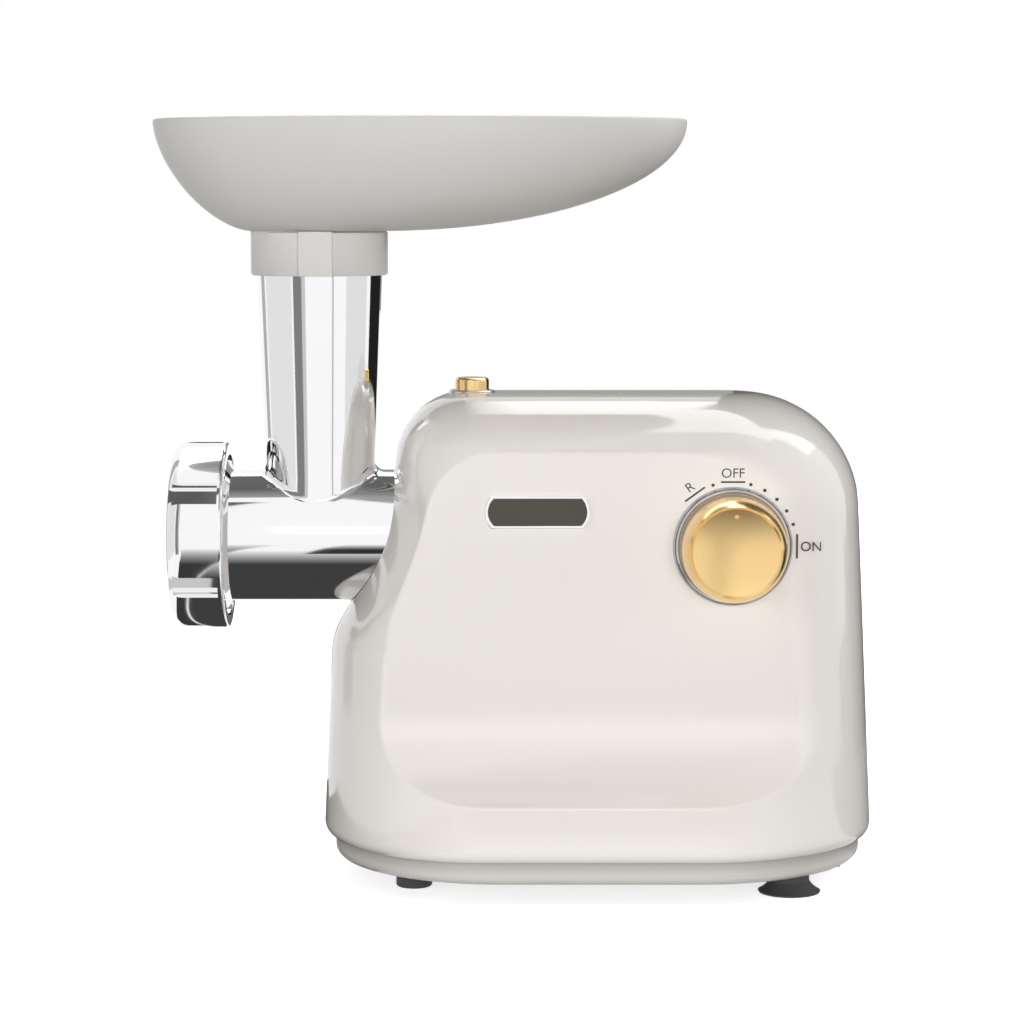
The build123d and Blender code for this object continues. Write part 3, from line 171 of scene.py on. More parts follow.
class HousingSize(bpy.types.PropertyGroup):
    """Sizes of the moulded motor housing."""

    half_length: length("Half length", "Half of the skirt's length", 0.123)
    half_width: length("Half width", "Half of the skirt's width", 0.080)
    skirt_z: length("Skirt height", "Height at which the half sizes are measured", 0.030)
    draft: share("Draft", "How much the walls lean in for each unit of height", 0.045)
    rim_z: length("Rim height", "Height of the lower rim", HOUSING_BOX[0].z)
    rim_round: length("Rim rounding", "Radius of the lower rim", 0.006)
    rim_return: length("Rim return", "Width of the flat underside of the rim", 0.003)
    top_z: length("Top height", "Height of the flat crown", HOUSING_BOX[1].z)
    side_round: length("Side rounding", "Radius of the crown along the sides", 0.060)
    rear_round: length("Rear rounding", "Radius of the crown at the rear", 0.050)
    front_round: length("Front rounding", "Radius of the crown above the barrel", 0.030)
    wall: length("Wall", "Thickness of the moulding", 0.003)
    slope_z: length("Slope start", "Height at which the nose starts to lean back", 0.109)
    slope_run: share("Slope", "Run of the sloped nose for each unit of height", 0.59)
    slope_round: length("Slope rounding", "Height over which the skirt turns into the slope", 0.004)
    hollow_round: length("Hollow radius", "Radius of the hollow under the barrel", 0.170)
    upper_front_x: length("Upper front", "Place of the upright front round the barrel", -0.090)
    front_bow: length("Front bow", "Radius of the upper front seen from above", 0.105)
    bow_blend: length("Bow blend", "Height over which the front bow changes", 0.015)
    corner_blend: length("Corner blend", "Height over which the front corners tighten", 0.043)
    skirt_bow: share("Skirt bow", "Radius of the skirt's nose over the half width", 1.1)
    skirt_corner: share("Skirt corner", "Radius of the skirt's corners over the half width", 0.9)
    upper_corner: share("Upper corner", "Radius of the upper corners over the half width", 0.35)
    crown_corner: share("Crown corner", "Radius of the corners under the crown over the half width", 0.68)
    crown_corner_z: length("Crown corner start", "Height at which the upper corners widen", 0.158)
    crown_corner_end: length("Crown corner end", "Height at which the corners stop widening", 0.196)
    panel_y: length("Panel face", "Distance of the side panel from the middle", -BEZEL_BOX[1].y)
    scoop_round: length("Scoop radius", "Radius of the scoop below the panel", 0.046)
    scoop_z: length("Scoop start", "Height at which the panel turns into the scoop", 0.0815)
    crease: length("Crease", "Rounding of the panel's edges", 0.0009)
    rear_crease: length("Rear blend", "Softness of the panel's rear edge", 0.007)
    blend_x: length("Blend start", "Place along the panel at which its edge starts to soften", 0.03)
    blend_end_x: length("Blend end", "Place along the panel at which its edge is fully soft", 0.075)
    blend_z: length("Blend foot", "Height at which the panel's rear edge starts to soften", 0.05)
    blend_end_z: length("Blend head", "Height at which the panel's rear edge is fully soft", 0.09)
    barrel_hole: length("Barrel hole", "Radius of the hole for the barrel", 0.030)
    barrel_end_x: length("Barrel end", "Place of the rear end of the barrel's hole", -0.0826)
    neck_hole: length("Neck hole", "Radius of the hole for the switch's neck", 0.00495)


class TraySize(bpy.types.PropertyGroup):
    """Sizes of the lift-off tray."""

    rim_z: length("Rim height", "Height of the rim", TRAY_BOX[1].z)
    floor_z: length("Floor height", "Height of the underside of the floor", 0.2893)
    front_x: length("Front", "Front end of the rim", TRAY_BOX[0].x)
    rear_x: length("Rear", "Rear end of the rim", TRAY_BOX[1].x)
    half_width: length("Half width", "Half of the rim's width", TRAY_BOX[1].y)
    front_run: length("Front run", "How far the front draws in towards the floor", 0.0427)
    rear_run: length("Rear run", "How far the rear draws in towards the floor", 0.134)
    side_run: length("Side run", "How far the sides draw in towards the floor", 0.042)
    front_power: share("Front fullness", "Fullness of the front curve", 1.6)
    side_power: share("Side fullness", "Fullness of the side curves", 1.8)
    wall: length("Wall", "Thickness of the dish", 0.0024)
    tube_x: length("Tube place", "Place of the tube's axis", -0.1245)
    collar_radius: length("Collar radius", "Outside radius of the slip-on collar", 0.0305)
    collar_bore: length("Collar bore", "Inside radius of the slip-on collar", 0.028835)
    collar_z: length("Collar foot", "Height of the collar's lower edge", TRAY_BOX[0].z)
    seat_z: length("Seat height", "Height of the seat on the tube", 0.2873)
    throat_radius: length("Throat radius", "Radius of the hole into the tube", 0.023)
    edge: length("Edge", "Rounding of the collar's edges", 0.0008)
    fall: length("Fall", "How far the floor and the seat fall towards the throat", 0.0002)
    rib_width: length("Rib width", "Width of the key rib on the collar", 0.015)
    rib_proud: length("Rib height", "How far the key rib stands proud", 0.001)


class DialSize(bpy.types.PropertyGroup):
    """Sizes of the dial printed round the speed knob."""

    radius: length("Dial radius", "Radius of the dots and bars", 0.0278)
    dot_radius: length("Dot radius", "Radius of a dot", 0.00075)
    bar_length: length("Bar length", "Length of the bar under a word", 0.0105)
    bar_width: length("Bar width", "Width of the bar under a word", 0.0008)
    word_height: length("Word height", "Height of the letters", 0.0042)
    word_gap: length("Word gap", "Gap between a bar and its word", 0.0015)
    ink: length("Ink", "Thickness of the print", 0.00012)


class TrimSize(bpy.types.PropertyGroup):
    """Sizes of the badge and of the ring round the knob."""

    bead_width: length("Bead width", "Width of the badge's bright bead", 0.0013)
    bead_proud: length("Bead height", "How far the bead stands off the panel", 0.0014)
    bead_edge: length("Bead edge", "Rounding of the bead's two edges", 0.0003)
    end_bulge: length("End bulge", "How far the badge's ends bulge out", 0.0026)
    plate_proud: length("Plate height", "How far the badge's plate stands off the panel", 0.0008)
    ring_height: length("Ring height", "How far the knob's ring stands off the panel", 0.0032)
    ring_well: length("Ring well", "Height of the well that the knob turns in", 0.0018)
    ring_bore: length("Ring bore", "Radius of the well", 0.0231)
    ring_hole: length("Ring hole", "Radius of the hole for the switch", 0.0074)
    ring_line: length("Ring line", "Width of the bright line on the ring", 0.0011)


class FinishColours(bpy.types.PropertyGroup):
    """Colours of the finishes, in linear light."""

    body_white: colour("Body white", "Warm white of the housing", (0.83, 0.79, 0.745))
    base_white: colour("Base white", "Moulding of the base cover", (0.81, 0.77, 0.73))
    tray_grey: colour("Tray grey", "Pale grey of the tray", (0.66, 0.645, 0.62))
    chrome: colour("Chrome", "Plated casting", (0.93, 0.93, 0.94))
    gold: colour("Gold", "Pale gold of the knob and button", (0.95, 0.67, 0.31))
    bezel: colour("Bezel", "Silver grey ring round the knob", (0.58, 0.58, 0.6))
    bright_line: colour("Bright line", "Line on the ring round the knob", (0.62, 0.62, 0.64))
    rubber: colour("Rubber", "Feet", (0.045, 0.045, 0.047))
    badge: colour("Badge", "Bare badge plate", (0.075, 0.066, 0.055))
    steel: colour("Steel", "Bright steel", (0.62, 0.62, 0.64))
    cast: colour("Cast metal", "Auger casting", (0.6, 0.6, 0.62))
    nylon: colour("Nylon", "Natural nylon", (0.78, 0.76, 0.68))
    black: colour("Black moulding", "Gear case and switch", (0.014, 0.014, 0.016))
    zinc: colour("Zinc", "Motor can", (0.36, 0.37, 0.38))
    ferrite: colour("Ferrite", "Magnets", (0.035, 0.035, 0.036))
    copper: colour("Copper", "Windings", (0.62, 0.24, 0.08))
    bronze: colour("Bronze", "Bushes", (0.48, 0.3, 0.12))
    board: colour("Board", "Circuit board", (0.01, 0.1, 0.03))
    ink: colour("Ink", "Print round the dial", (0.05, 0.048, 0.045))


class StageSize(bpy.types.PropertyGroup):
    """Camera, floor and surrounding light."""

    camera_x: length("Camera side", "Camera place along the object", -0.0386)
    camera_y: length("Camera distance", "Camera place in front of the object", -1.393)
    camera_z: length("Camera height", "Camera height above the floor", 0.303)
    camera_tilt: FloatProperty(name="Camera tilt", description="How far the camera looks down",
                               default=radians(5.727), subtype="ANGLE")
    lens: share("Lens", "Focal length in millimetres", 109.4)
    sensor: share("Sensor", "Width of the camera's sensor in millimetres", 36.0)
    floor_radius: length("Floor radius", "Radius of the floor", 2.4)
    floor_bounce: share("Floor bounce", "How pale the floor is to the light that it throws back", 0.05)
    floor_pale: share("Floor paleness", "How pale the floor is in view", 0.86)
    floor_glow: share("Floor lift", "Light added to the floor in view, near the object", 0.7)
    floor_near: share("Near floor", "Share of the floor's radius at which it starts to whiten", 0.25)
    floor_far: share("Far floor", "Share of the floor's radius at which it is white", 0.8)
    world_strength: share("World light", "Strength of the surrounding light", 0.13)


def settings():
    """All the add-on's settings in the current scene."""
    return bpy.context.scene.meat_grinder


def input_value(node, socket, value):
    """Sets one input of a node."""
    node.inputs[socket].default_value = value


def mapped_range(tree, source, low, high, start=0.0, end=1.0):
    """A node that spreads a value, from start to end, between two others."""
    spread = tree.nodes.new("ShaderNodeMapRange")
    tree.links.new(source, spread.inputs["Value"])
    for socket, value in (("From Min", start), ("From Max", end), ("To Min", low), ("To Max", high)):
        if isinstance(value, (int, float)):
            input_value(spread, socket, value)
        else:
            tree.links.new(value, spread.inputs[socket])
    return spread.outputs["Result"]


def add_effect(name, own_inputs, low, high):
    """A new surface effect with its sockets: coordinates, its own inputs and a range of gloss."""
    group = bpy.data.node_groups.new(name, "ShaderNodeTree")
    inputs = (("Vector", "NodeSocketVector", None), *own_inputs,
              ("Low Roughness", "NodeSocketFloat", low), ("High Roughness", "NodeSocketFloat", high))
    for label, kind, default in inputs:
        socket = group.interface.new_socket(name=label, in_out="INPUT", socket_type=kind)
        if default is not None:
            socket.default_value = default
    for label in ("Tone", "Roughness", "Height"):
        group.interface.new_socket(name=label, in_out="OUTPUT", socket_type="NodeSocketFloat")
    return group, group.nodes.new("NodeGroupInput").outputs


def close_effect(group, given, tone, gloss, height):
    """Leads an effect's tone, gloss and height out of its group."""
    results = group.nodes.new("NodeGroupOutput").inputs
    roughness = mapped_range(group, gloss, given["Low Roughness"], given["High Roughness"])
    for label, value in (("Tone", tone), ("Roughness", roughness), ("Height", height)):
        group.links.new(value, results[label])
    return group


def noise(tree, vector, **values):
    """A noise texture over the given coordinates, with its inputs set by name."""
    texture = tree.nodes.new("ShaderNodeTexNoise")
    tree.links.new(vector, texture.inputs["Vector"])
    for socket, value in values.items():
        input_value(texture, socket, value)
    return texture.outputs["Fac"]


def moulded_surface():
    """Moulded plastic: faint flow marks in the colour, uneven gloss and a fine orange peel."""
    group, given = add_effect(MOULDED, (("Peel Scale", "NodeSocketFloat", 420.0),), 0.2, 0.3)
    flow = noise(group, given["Vector"], Scale=9.0, Detail=3.0)
    smear = noise(group, given["Vector"], Scale=55.0, Detail=5.0)
    peel = noise(group, given["Vector"], Detail=1.0)
    group.links.new(given["Peel Scale"], peel.node.inputs["Scale"])
    return close_effect(group, given, flow, smear, peel)


def polished_metal():
    """Polished or plated metal: wiping marks in the gloss and a faint ripple."""
    group, given = add_effect(POLISHED, (), 0.03, 0.09)
    wipes = noise(group, given["Vector"], Scale=40.0, Detail=6.0, Distortion=1.2)
    ripple = noise(group, given["Vector"], Scale=90.0, Detail=1.0)
    return close_effect(group, given, wipes, wipes, ripple)


def brushed_metal():
    """Brushed or turned metal: fine lines along one direction, from stretched noise."""
    group, given = add_effect(BRUSHED, (("Stretch", "NodeSocketVector", (60.0, 1400.0, 1400.0)),), 0.22, 0.42)
    stretched = group.nodes.new("ShaderNodeVectorMath")
    stretched.operation = "MULTIPLY"
    group.links.new(given["Vector"], stretched.inputs[0])
    group.links.new(given["Stretch"], stretched.inputs[1])
    lines = noise(group, stretched.outputs["Vector"], Scale=1.0, Detail=3.0)
    return close_effect(group, given, lines, lines, lines)


MOULDED, POLISHED, BRUSHED = "Moulded Surface", "Polished Metal", "Brushed Metal"
EFFECTS = {MOULDED: moulded_surface, POLISHED: polished_metal, BRUSHED: brushed_metal}
COAT_ROUGHNESS, FLOOR_ROUGHNESS = 0.06, 0.9
# Painted shade: the grey that the base cover's colour is multiplied by at the seam under the housing's rim,
# standing in for the rim's shadow.
PAINTED_SEAM_SHADE = (0.48, 0.48, 0.48, 1.0)

# A finish is named after its colour. It takes one effect, with a range of roughness and the effect's own
# inputs.
Finish = namedtuple("Finish", "label effect low high tone bump depth metallic coat specular inputs",
                    defaults=(0.04, 0.02, 0.0002, 0.0, 0.0, 0.5, {}))
FINISHES = {
    "body_white": Finish("Body White", MOULDED, 0.08, 0.14, tone=0.012, coat=0.5),
    "base_white": Finish("Base White", MOULDED, 0.3, 0.4, tone=0.012),
    "tray_grey": Finish("Tray Grey", MOULDED, 0.4, 0.5, tone=0.015, specular=0.3,
                        inputs={"Peel Scale": 380.0}),
    "chrome": Finish("Chrome", POLISHED, 0.03, 0.08, tone=0.02, bump=0.012, metallic=1.0),
    "gold": Finish("Gold", POLISHED, 0.16, 0.24, tone=0.03, metallic=1.0),
    "bezel": Finish("Bezel Silver", POLISHED, 0.2, 0.3, tone=0.03, metallic=0.85),
    "bright_line": Finish("Bright Ring", POLISHED, 0.12, 0.2, tone=0.02, metallic=1.0),
    "rubber": Finish("Rubber", MOULDED, 0.55, 0.75, tone=0.25, bump=0.15, inputs={"Peel Scale": 1500.0}),
    "badge": Finish("Badge Enamel", BRUSHED, 0.25, 0.4, tone=0.12, metallic=0.5,
                    inputs={"Stretch": (40.0, 900.0, 900.0)}),
    "steel": Finish("Bright Steel", BRUSHED, 0.22, 0.42, tone=0.08, metallic=1.0,
                    inputs={"Stretch": (1400.0, 60.0, 1400.0)}),
    "cast": Finish("Cast Metal", MOULDED, 0.3, 0.5, tone=0.1, bump=0.2, metallic=1.0,
                   inputs={"Peel Scale": 700.0}),
    "nylon": Finish("Nylon", MOULDED, 0.4, 0.55, tone=0.05),
    "black": Finish("Black Moulding", MOULDED, 0.45, 0.65, tone=0.3, bump=0.12,
                    inputs={"Peel Scale": 2200.0}),
    "zinc": Finish("Zinc Plate", POLISHED, 0.28, 0.5, tone=0.12, metallic=0.9),
    "ferrite": Finish("Ferrite", MOULDED, 0.6, 0.8, tone=0.3, bump=0.25, inputs={"Peel Scale": 3000.0}),
    "copper": Finish("Copper", BRUSHED, 0.2, 0.45, tone=0.3, bump=0.6, depth=0.0004, metallic=1.0,
                     inputs={"Stretch": (2200.0, 120.0, 120.0)}),
    "bronze": Finish("Bronze", MOULDED, 0.35, 0.55, tone=0.15, metallic=1.0, inputs={"Peel Scale": 2500.0}),
    "board": Finish("Circuit Board", BRUSHED, 0.3, 0.45, tone=0.35, inputs={"Stretch": (800.0, 800.0, 90.0)}),
    "ink": Finish("Dial Ink", MOULDED, 0.45, 0.6, tone=0.15),
}


def colour_mix(tree, factor, first, second):
    """A node that mixes two colours, given or linked."""
    mix = tree.nodes.new("ShaderNodeMix")
    mix.data_type = "RGBA"
    tree.links.new(factor, mix.inputs["Factor"])
    for socket, tint in (("A", first), ("B", second)):
        if isinstance(tint, tuple):
            input_value(mix, socket, tint)
        else:
            tree.links.new(tint, mix.inputs[socket])
    return mix


def finish(name):
    """The named material, whose colour, gloss and bump come from one of the shared effects."""
    look = FINISHES[name]
    made = bpy.data.materials.get(look.label)
    if made:
        return made
    made = bpy.data.materials.new(look.label)
    made.use_nodes = True
    tree = made.node_tree
    shader = tree.nodes["Principled BSDF"]
    place = tree.nodes.new("ShaderNodeTexCoord")
    surface = tree.nodes.new("ShaderNodeGroup")
    surface.node_tree = bpy.data.node_groups.get(look.effect) or EFFECTS[look.effect]()
    tree.links.new(place.outputs["Object"], surface.inputs["Vector"])
    input_value(surface, "Low Roughness", look.low)
    input_value(surface, "High Roughness", look.high)
    for socket, value in look.inputs.items():
        input_value(surface, socket, value)
    tint = getattr(settings().colours, name)
    darker = (*[channel * (1.0 - look.tone) for channel in tint], 1.0)
    paler = (*[min(channel * (1.0 + look.tone), 1.0) for channel in tint], 1.0)
    shade = colour_mix(tree, surface.outputs["Tone"], darker, paler)
    tree.links.new(shade.outputs["Result"], shader.inputs["Base Color"])
    tree.links.new(surface.outputs["Roughness"], shader.inputs["Roughness"])
    relief = tree.nodes.new("ShaderNodeBump")
    input_value(relief, "Strength", look.bump)
    input_value(relief, "Distance", look.depth)
    tree.links.new(surface.outputs["Height"], relief.inputs["Height"])
    tree.links.new(relief.outputs["Normal"], shader.inputs["Normal"])
    input_value(shader, "Metallic", look.metallic)
    input_value(shader, "Coat Weight", look.coat)
    input_value(shader, "Coat Roughness", COAT_ROUGHNESS)
    input_value(shader, "Specular IOR Level", look.specular)
    return made


def base_white():
    """The base cover's moulding, with painted shade darkening it towards the seam under the housing's rim."""
    made = finish("base_white")
    tree = made.node_tree
    tint = tree.nodes["Principled BSDF"].inputs["Base Color"]
    place = tree.nodes.new("ShaderNodeTexCoord")
    height = tree.nodes.new("ShaderNodeSeparateXYZ")
    tree.links.new(place.outputs["Object"], height.inputs["Vector"])
    # Painted shade: darkest at the seam under the housing's rim and gone at the cover's foot, in place of the
    # rim's real shadow.
    seam = mapped_range(tree, height.outputs["Z"], 0.0, 1.0, COVER_BOX[0].z, HOUSING_BOX[0].z)
    shade = colour_mix(tree, seam, tint.links[0].from_socket, PAINTED_SEAM_SHADE)
    shade.blend_type = "MULTIPLY"
    tree.links.new(shade.outputs["Result"], tint)
    return made


# Finishes of the material slots that don't share a finish's name.
SLOT_FINISHES = {"bezel_grey": "bezel", "badge_dark": "badge", "cast_aluminium": "cast",
                 "case_black": "black", "motor_zinc": "zinc", "board_green": "board"}


def packed_joint(name):
    """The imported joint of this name."""
    return next(joint for joint in frame["joints"] if joint["name"] == name)


def node_slots():
    """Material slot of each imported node."""
    return {part["node"]: part["material_slot"] for part in frame["record"]["subparts"]}


def make_piece(name, mesh, body, material, replaced=(), crease=PLAIN_CREASE):
    """Turns a bmesh into an object that rides on a body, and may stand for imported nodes."""
    bmesh.ops.remove_doubles(mesh, verts=mesh.verts, dist=MERGE_DISTANCE)
    bmesh.ops.recalc_face_normals(mesh, faces=mesh.faces)
    data = bpy.data.meshes.new(name)
    mesh.to_mesh(data)
    mesh.free()
    data.shade_smooth()
    data.set_sharp_from_angle(angle=radians(crease))
    data.materials.append(material)
    piece = bpy.data.objects.new(name, data)
    bpy.context.scene.collection.objects.link(piece)
    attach(piece, body)
    if replaced:
        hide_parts(*replaced)
    return piece


def bake_modifiers(piece, crease):
    """Applies a piece's modifiers to its mesh."""
    bpy.context.view_layer.update()
    evaluated = piece.evaluated_get(bpy.context.evaluated_depsgraph_get())
    data = bpy.data.meshes.new_from_object(evaluated)
    piece.modifiers.clear()
    old = piece.data
    piece.data = data
    data.name = old.name
    bpy.data.meshes.remove(old)
    data.shade_smooth()
    data.set_sharp_from_angle(angle=radians(crease))


def cut_away(piece, cutters, crease):
    """Cuts closed bmesh shapes out of a piece."""
    tools = []
    for index, shape in enumerate(cutters):
        bmesh.ops.recalc_face_normals(shape, faces=shape.faces)
        data = bpy.data.meshes.new(f"{piece.name}.cut{index}")
        shape.to_mesh(data)
        shape.free()
        tool = bpy.data.objects.new(data.name, data)
        bpy.context.scene.collection.objects.link(tool)
        cut = piece.modifiers.new("Cut", "BOOLEAN")
        cut.operation = "DIFFERENCE"
        cut.solver = "EXACT"
        cut.object = tool
        tools.append(tool)
    bake_modifiers(piece, crease)
    for tool in tools:
        data = tool.data
        bpy.data.objects.remove(tool)
        bpy.data.meshes.remove(data)


def rod(start, end, radius, segments=ROD_SEGMENTS):
    """A closed round bar between two points, as a bmesh."""
    mesh = bmesh.new()
    axis = Vector(end) - Vector(start)
    turn = axis.to_track_quat("Z", "Y").to_matrix().to_4x4()
    place = Matrix.Translation((Vector(start) + Vector(end)) / 2) @ turn
    bmesh.ops.create_cone(mesh, cap_ends=True, segments=segments, radius1=radius, radius2=radius,
                          depth=axis.length, matrix=place)
    return mesh


def ring(mesh, points):
    """A closed loop of edges through the given points, started from a circle."""
    verts = bmesh.ops.create_circle(mesh, segments=len(points), radius=1.0)["verts"]
    for vert, point in zip(verts, points):
        vert.co = point
    return list({edge for vert in verts for edge in vert.link_edges})


def skin(mesh, loops):
    """Skins neighbouring loops of edges."""
    for near, far in zip(loops, loops[1:]):
        bmesh.ops.bridge_loops(mesh, edges=near + far)


def eased(start, end, count, slow_start=False, slow_end=False):
    """Values from start to end, both included, drawn together at a slow end."""
    values = []
    for step in range(count + 1):
        part = step / count
        if slow_start and slow_end:
            part = (1.0 - cos(pi * part)) / 2
        elif slow_start:
            part = part**2
        elif slow_end:
            part = 1.0 - (1.0 - part) ** 2
        values.append(start + (end - start) * part)
    return values


def soft_min(first, second, softness):
    """The smaller of two values, blended where they come close."""
    blend = max(softness - abs(first - second), 0.0) / softness
    return min(first, second) - blend**2 * softness / 4


def soft_step(value, low, high):
    """0 below low, 1 above high and a smooth rise between."""
    part = min(max((value - low) / (high - low), 0.0), 1.0)
    return part * part * (3.0 - 2.0 * part)


def crown_recess(size, z, radius):
    """How far a crown rounding of this radius has drawn in at height z."""
    rise = min(max(z - (size.top_z - radius), 0.0), radius)
    return radius - sqrt(radius**2 - rise**2)


def nose_x(size, z):
    """Nose of the housing at height z: drafted skirt, slope, hollow, then the crown."""
    slope_top_x = -size.half_length + size.draft * (size.slope_z - size.skirt_z)
    corner_z = size.slope_z + (size.upper_front_x - slope_top_x) / size.slope_run
    reach = size.hollow_round * tan(atan(size.slope_run) / 2)
    hollow_start = corner_z - reach * cos(atan(size.slope_run))
    skirt = -size.half_length + size.draft * (z - size.skirt_z)
    slope = size.upper_front_x - size.slope_run * (corner_z - z)
    if z <= hollow_start:
        return -soft_min(-skirt, -slope, size.slope_round)
    drop = max(corner_z + reach - z, 0.0)
    hollow = size.hollow_round - sqrt(size.hollow_round**2 - drop**2)
    return size.upper_front_x - hollow + crown_recess(size, z, size.front_round)


def side_y(size, z):
    """Half width of the housing at height z, before its panels are cut."""
    return size.half_width - size.draft * (z - size.skirt_z) - crown_recess(size, z, size.side_round)


def panel_limit(size, z):
    """Half width left by the panel and its scoop at height z."""
    drop = size.scoop_z - z
    if drop <= 0.0:
        return size.panel_y
    if drop >= size.scoop_round:
        return size.panel_y + size.scoop_round
    return size.panel_y + size.scoop_round - sqrt(size.scoop_round**2 - drop**2)


def panel_edge_z(size, low, high):
    """Height between two others at which the panel runs out into the side."""
    cut_at_low = panel_limit(size, low) < side_y(size, low)
    for _ in range(HALVINGS):
        middle = (low + high) / 2
        if (panel_limit(size, middle) < side_y(size, middle)) == cut_at_low:
            low = middle
        else:
            high = middle
    return (low + high) / 2


def housing_ring(size, z, inset):
    """Points round the housing at height z, gathered where the panels meet the ends."""
    half = side_y(size, z) - inset
    rear_x = (size.half_length - size.draft * (z - size.skirt_z) - crown_recess(size, z, size.rear_round)
              - inset - half)
    nose = nose_x(size, z) + inset
    bow_part = min(max(z - size.slope_z, 0.0) / size.bow_blend, 1.0)
    corner_part = min(max(z - size.slope_z, 0.0) / size.corner_blend, 1.0)
    bow = size.skirt_bow * half + bow_part * (size.front_bow - size.skirt_bow * half)
    upper = (size.upper_corner + (size.crown_corner - size.upper_corner)
             * soft_step(z, size.crown_corner_z, size.crown_corner_end))
    corner = half * (size.skirt_corner + corner_part * (upper - size.skirt_corner))
    turn = asin((half - corner) / (bow - corner))
    corner_x = nose + bow - (bow - corner) * cos(turn)
    spans = (half * pi / 2, rear_x - corner_x, corner * (pi / 2 - turn), bow * turn)
    limit = panel_limit(size, z)
    rear_cut = half * asin(min(limit / half, 1.0))
    front_cut = spans[0] + spans[1]
    if limit < half:
        lean = acos(max((limit - half + corner) / corner, -1.0))
        if lean < pi / 2 - turn:
            front_cut += corner * lean
        else:
            front_cut += spans[2] + spans[3] - bow * asin(limit / bow)

    def outline(reach):
        if reach < spans[0]:
            return rear_x + half * cos(reach / half), half * sin(reach / half)
        reach -= spans[0]
        if reach < spans[1]:
            return rear_x - reach, half
        reach -= spans[1]
        if reach < spans[2]:
            return corner_x - corner * sin(reach / corner), half - corner + corner * cos(reach / corner)
        reach = spans[3] - (reach - spans[2])
        return nose + bow - bow * cos(reach / bow), bow * sin(reach / bow)

    stations = eased(0.0, rear_cut, REAR_STEPS, slow_end=True)
    stations += eased(rear_cut, front_cut, SIDE_STEPS, slow_start=True, slow_end=True)[1:]
    stations += eased(front_cut, sum(spans), NOSE_STEPS, slow_start=True)[1:]
    points = []
    for reach in stations:
        x, y = outline(min(reach, sum(spans)))
        blend = soft_step(x, size.blend_x, size.blend_end_x) * soft_step(z, size.blend_z, size.blend_end_z)
        softness = size.crease + (size.rear_crease - size.crease) * blend
        points.append((x, soft_min(y, limit, softness), z))
    return points + [(x, -y, z) for x, y, z in reversed(points[1:-1])]


def housing_levels(size):
    """Heights and insets of the housing's rings, from the rim's underside to the crown."""
    foot = panel_edge_z(size, size.skirt_z, size.scoop_z)
    head = panel_edge_z(size, size.scoop_z, size.top_z)
    dome_z = size.top_z - size.side_round
    head_angle = asin((head - dome_z) / size.side_round)
    levels = [(size.rim_z, size.rim_round + size.rim_return)]
    for angle in eased(0.0, pi / 2, RIM_STEPS):
        levels.append((size.rim_z + size.rim_round * (1 - cos(angle)), size.rim_round * (1 - sin(angle))))
    heights = eased(size.rim_z + size.rim_round, foot, SKIRT_STEPS, slow_end=True)[1:]
    heights += eased(foot, size.scoop_z, SCOOP_STEPS, slow_start=True)[1:]
    heights += eased(size.scoop_z, size.slope_z, PANEL_STEPS, slow_end=True)[1:]
    heights += eased(size.slope_z, dome_z, SLOPE_STEPS, slow_start=True)[1:]
    angles = eased(0.0, head_angle, DOME_STEPS, slow_end=True)[1:]
    angles += eased(head_angle, pi / 2, CROWN_STEPS, slow_start=True)[1:]
    heights += [dome_z + size.side_round * sin(angle) for angle in angles]
    return levels + [(z, 0.0) for z in heights]


class GRINDER_OT_housing(bpy.types.Operator):
    """Models the motor housing as a thin moulding with scooped side panels"""

    bl_idname = "grinder.housing"
    bl_label = "Motor Housing"

    def execute(self, context):
        size = settings().housing
        mesh = bmesh.new()
        loops = [ring(mesh, housing_ring(size, z, inset)) for z, inset in housing_levels(size)]
        skin(mesh, loops)
        bmesh.ops.edgenet_fill(mesh, edges=loops[-1])
        piece = make_piece("motor_housing", mesh, "base", finish("body_white"),
                           ("main_housing",), HOUSING_CREASE)
        wall = piece.modifiers.new("Wall", "SOLIDIFY")
        wall.thickness = size.wall
        wall.offset = -1.0
        bake_modifiers(piece, HOUSING_CREASE)
        barrel_z = packed_joint("auger_spin")["pos_m"][2]
        collar_x = (COLLAR_BOX[0].x + COLLAR_BOX[1].x) / 2
        collar_radius = (COLLAR_BOX[1].x - COLLAR_BOX[0].x) / 2
        collar_foot, collar_head = size.top_z - 3 * size.wall, size.top_z + size.wall
        neck_end = -size.panel_y + 2 * size.wall
        cut_away(piece, (
            rod((-size.half_length, 0.0, barrel_z), (size.barrel_end_x, 0.0, barrel_z), size.barrel_hole,
                BARREL_SEGMENTS),
            rod((collar_x, 0.0, collar_foot), (collar_x, 0.0, collar_head), collar_radius),
            rod((DIAL_CENTRE.x, -size.half_width, DIAL_CENTRE.z), (DIAL_CENTRE.x, neck_end, DIAL_CENTRE.z),
                size.neck_hole),
        ), HOUSING_CREASE)
        return {"FINISHED"}


def tray_oval(size, part, inset, z):
    """Points of the tray's oval at a share of its depth below the rim."""
    front = size.front_x + size.front_run * (1 - (1 - part**size.front_power) ** (1 / size.front_power))
    rear = size.rear_x - size.rear_run * (1 - sqrt(1 - part**2))
    half = size.half_width - size.side_run * (1 - (1 - part**size.side_power) ** (1 / size.side_power))
    middle, reach = (front + rear) / 2, (rear - front) / 2 - inset
    angles = [2 * pi * step / TRAY_SEGMENTS for step in range(TRAY_SEGMENTS)]
    return [(middle + reach * cos(angle), (half - inset) * sin(angle), z) for angle in angles]


def tray_circle(size, radius, z):
    """Points of a circle round the tube's axis."""
    angles = [2 * pi * step / TRAY_SEGMENTS for step in range(TRAY_SEGMENTS)]
    return [(size.tube_x + radius * cos(angle), radius * sin(angle), z) for angle in angles]


